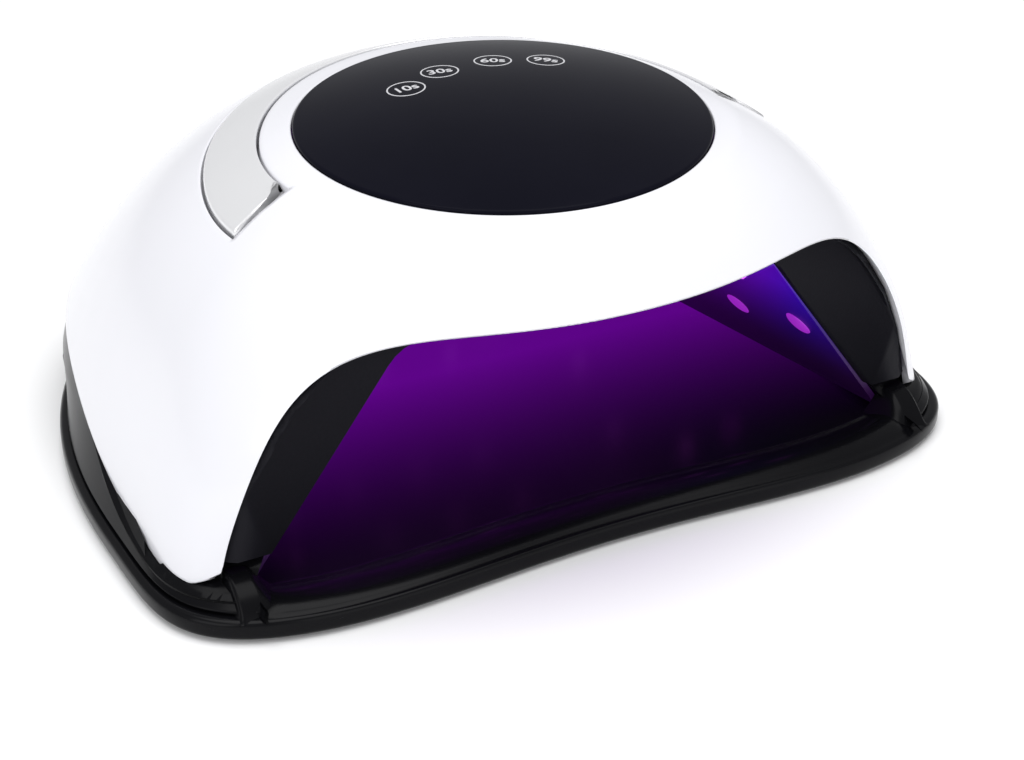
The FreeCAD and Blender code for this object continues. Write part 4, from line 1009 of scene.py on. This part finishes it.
# %% Silver of the handle
silver = Finish("handle_satin_silver", Metallic=0.55, IOR=1.5)
grain = silver.noise(900.0, 2.0)
silver.set(Base_Color=silver.mix(silver.noise(25.0), rgb(0.80, 0.80, 0.81), rgb(0.88, 0.88, 0.885)))
silver.set(Roughness=grain * 0.06 + 0.22)
silver.bump(grain, 0.03, 0.0002)
paint(handle, silver)

grey = Finish("handle_back_grey", Roughness=0.45)
grey.set(Base_Color=grey.mix(grey.noise(40.0), rgb(0.20, 0.20, 0.21), rgb(0.26, 0.26, 0.27)))
grey.bump(grey.noise(700.0), 0.12, 0.0002)
paint(merged["handle_core"], grey)
print("painted", handle.name, "and", merged["handle_core"].name)

# %% [markdown]
# ## Black gloss and black matte
#
# The panel is deep acrylic, smooth as glass. The tray and frame are moulded gloss black with faint
# handling haze. The bezel is textured matte black, so that stray light from the lamp isn't thrown
# back at the eye. Under the lamp the tray's floor carries painted violet light: an emission of its
# own stands in for the beads' light that falls on it, and fades towards the mouth.

# %% Black finishes
acrylic = Finish("panel_acrylic", IOR=1.42, Specular_IOR_Level=0.030)
acrylic.set(Base_Color=acrylic.mix(acrylic.noise(30.0), rgb(0.0035, 0.0035, 0.007), rgb(0.006, 0.006, 0.011)))
acrylic.set(Roughness=acrylic.noise(120.0, 4.0) * 0.05 + 0.10)
paint(panel, acrylic)

print_ink = Finish("mark_print", Roughness=0.5)
print_ink.set(Base_Color=print_ink.mix(print_ink.noise(800.0), rgb(0.50, 0.50, 0.52), rgb(0.62, 0.62, 0.64)))
for mark in marks:
    paint(mark, print_ink)


def moulded_black(name, specular):
    """Gloss black moulding whose haze drifts in colour and in gloss."""
    finish = Finish(name, IOR=1.45, Specular_IOR_Level=specular)
    haze = finish.noise(22.0, 4.0)
    finish.set(Base_Color=finish.mix(haze, rgb(0.0022, 0.0022, 0.0028), rgb(0.0040, 0.0040, 0.0050)))
    finish.set(Roughness=haze * 0.10 + 0.16)
    finish.bump(finish.noise(60.0), 0.03, 0.0006)
    return finish


gloss = moulded_black("tray_gloss_black", 0.09)
for piece in [merged["lower_frame"], skirt] + ramps:
    paint(piece, gloss)

tray_finish = moulded_black("tray_gloss_black_painted_light", 0.12)
x, y, z = tray_finish.axes()
# Painted light: a violet emission on the floor under the lamp stands in for the beads' light falling there,
# fading towards the mouth.
painted_light_area = (0.096 - abs(x)).above(0.003, 0.006) * (0.052 - y).above(0.004, 0.008) * z.above(0.0055, 0.001)
depth = ((y + 0.085) * (1 / 0.085)).clamp(0.0, 1.2) ** 2.4
painted_floor_light = tray_finish.mix(painted_light_area * depth, rgb(0, 0, 0), rgb(0.105, 0.0010, 0.235))
tray_finish.set(Emission_Color=painted_floor_light, Emission_Strength=1.0)
paint(tray, tray_finish)

matte = Finish("bezel_matte_black", IOR=1.45, Specular_IOR_Level=0.13)
texture = matte.noise(1500.0, 2.0)
matte.set(Base_Color=matte.mix(matte.noise(35.0), rgb(0.0062, 0.0060, 0.0088), rgb(0.0085, 0.0082, 0.0115)))
matte.set(Roughness=texture * 0.12 + 0.5)
matte.bump(texture, 0.15, 0.0002)
paint(merged["front_bezel"], matte)
print("painted panel, marks, tray, skirt and bezel")

# %% [markdown]
# ## Light in the cavity
#
# The lamp is on. Violet beads shine onto the metallised lining, which spreads the light. That light
# is painted onto the lining: its base colour is tinted dark violet, and an emission that follows height
# and place stands in for the spread light, purple where the beads' red-violet share dominates, deep
# blue near the mouth, and fading to black towards the floor.

# %% Lining finish
lining = Finish("cavity_painted_light", Roughness=0.38, Metallic=0.3)
x, y, z = lining.axes()
# Painted light: the silver lining's base colour is tinted dark violet, standing in for the beads' light on
# it.
lining.set(Base_Color=lining.mix(lining.noise(30.0), rgb(0.030, 0.004, 0.060), rgb(0.045, 0.006, 0.085)))
# Painted light: an emission that rises with height, purple behind and deep blue near the mouth, stands in for
# the light the lining spreads.
rise = z.above(0.033, 0.040)
painted_blue_mask = (x - y * 0.55).above(0.088, 0.040)
painted_light_hue = lining.mix(painted_blue_mask, rgb(0.165, 0.002, 0.330), rgb(0.012, 0.001, 0.330))
painted_lining_light = lining.mix(rise * rise, rgb(0.0012, 0.0, 0.003), painted_light_hue)
lining.set(Emission_Color=painted_lining_light, Emission_Strength=1.0)
paint(merged["reflector"], lining)

bead = Finish("bead_violet", Roughness=0.25)
bead.set(Base_Color=bead.mix(bead.noise(300.0), rgb(0.30, 0.05, 0.50), rgb(0.36, 0.07, 0.55)))
bead.set(Emission_Color=bead.mix(bead.noise(300.0), rgb(0.42, 0.06, 0.62), rgb(0.50, 0.08, 0.70)))
bead.set(Emission_Strength=2.2)
print("painted", merged["reflector"].name)

# %% [markdown]
# ## Inner pieces
#
# Boards, springs, magnets, screws and the inlet keep their CAD meshes. Each kind still gets a finish
# of its own, since the tray comes off and the handle swings up.

# %% Finishes of the small pieces
def plain(name, low, high, scale, rough, metal=0.0, bump=0.1):
    """Finish with a slight colour drift, a slight gloss drift and a fine texture."""
    finish = Finish(name, Metallic=metal)
    drift = finish.noise(scale)
    finish.set(Base_Color=finish.mix(drift, rgb(*low), rgb(*high)), Roughness=drift * 0.1 + rough)
    finish.bump(finish.noise(600.0), bump, 0.0002)
    return finish


small = {
    "rubber_black": plain("foot_rubber", (0.018, 0.018, 0.018), (0.028, 0.028, 0.028), 60, 0.75, bump=0.3),
    "magnet": plain("magnet_nickel", (0.55, 0.54, 0.52), (0.62, 0.61, 0.60), 80, 0.22, 1.0),
    "steel": plain("steel_zinc", (0.50, 0.50, 0.52), (0.60, 0.60, 0.62), 90, 0.30, 1.0),
    "board_white": plain("board_white_mask", (0.70, 0.71, 0.69), (0.78, 0.79, 0.77), 50, 0.42),
    "board_green": plain("board_green_mask", (0.012, 0.090, 0.035), (0.020, 0.120, 0.050), 50, 0.38),
    "foam": plain("gasket_foam", (0.020, 0.020, 0.020), (0.035, 0.035, 0.035), 300, 0.85, bump=0.5),
    "display_dark": plain("display_window", (0.010, 0.010, 0.014), (0.016, 0.016, 0.020), 60, 0.15),
    "inlet_black": plain("inlet_moulding", (0.014, 0.014, 0.014), (0.022, 0.022, 0.022), 90, 0.45),
    "heat_sink": plain("sink_aluminium", (0.55, 0.55, 0.57), (0.64, 0.64, 0.66), 120, 0.35, 1.0),
    "bead": bead,
}
soft_bead = Finish("bead_soft_violet", Roughness=0.3)
soft_bead.set(Base_Color=soft_bead.mix(soft_bead.noise(300.0), rgb(0.20, 0.03, 0.30), rgb(0.24, 0.04, 0.34)))
lens_drift = soft_bead.noise(300.0)
soft_bead.set(Emission_Color=soft_bead.mix(lens_drift, rgb(0.22, 0.010, 0.36), rgb(0.26, 0.014, 0.42)))
soft_bead.set(Emission_Strength=1.0)
for piece in side_beads:
    paint(piece, soft_bead)
replaced = {"top_cover", "handle_plate", "touch_panel", "base_tray"} | set(copies)
for entry in frame["record"]["subparts"]:
    node, slot = entry["node"], entry["material_slot"]
    if node not in replaced:
        paint(frame["nodes"][node], small[slot])
print("painted", len(frame["nodes"]) - len(replaced), "CAD nodes")

# %% [markdown]
# ## Studio
#
# A plain pale floor and a few large soft lights, as for a catalogue: one broad light overhead, a
# fill from the left, and a weak one for the front. A pale world lights the rest.

# %% Floor and lights
floor_x, floor_y = np.meshgrid(np.linspace(-6, 6, 5), np.linspace(-6, 6, 5))
floor = grid_piece("studio_floor", np.stack([floor_x, floor_y, 0 * floor_x], axis=-1), merge=False)
floor_finish = Finish("studio_floor_white", Base_Color=rgb(0.93, 0.93, 0.93), Roughness=0.85)
paint(floor, floor_finish)

world = bpy.data.worlds.new("studio")
world.use_nodes = True
background = world.node_tree.nodes["Background"]
background.inputs["Color"].default_value = rgb(0.97, 0.975, 1.0)
background.inputs["Strength"].default_value = 0.62
bpy.context.scene.world = world


def soft_light(name, place, aim, width, power):
    """Square area light at a place, turned to an aim."""
    data = bpy.data.lights.new(name, "AREA")
    data.shape = "RECTANGLE"
    data.size, data.size_y, data.energy = width, width, power
    light = bpy.data.objects.new(name, data)
    light.location = place
    light.rotation_euler = (Vector(aim) - Vector(place)).to_track_quat("-Z", "Y").to_euler()
    bpy.context.scene.collection.objects.link(light)


soft_light("overhead", (0.0, -0.12, 1.1), (0, 0, 0.05), 1.0, 9.0)
soft_light("left_fill", (-0.9, -0.5, 0.55), (0, 0, 0.04), 0.7, 3.0)
soft_light("front_fill", (0.2, -1.1, 0.35), (0, 0, 0.04), 0.8, 2.0)

settings = bpy.context.scene.view_settings
settings.view_transform = "Standard"
settings.look = "None"
print("floor, world and three lights")
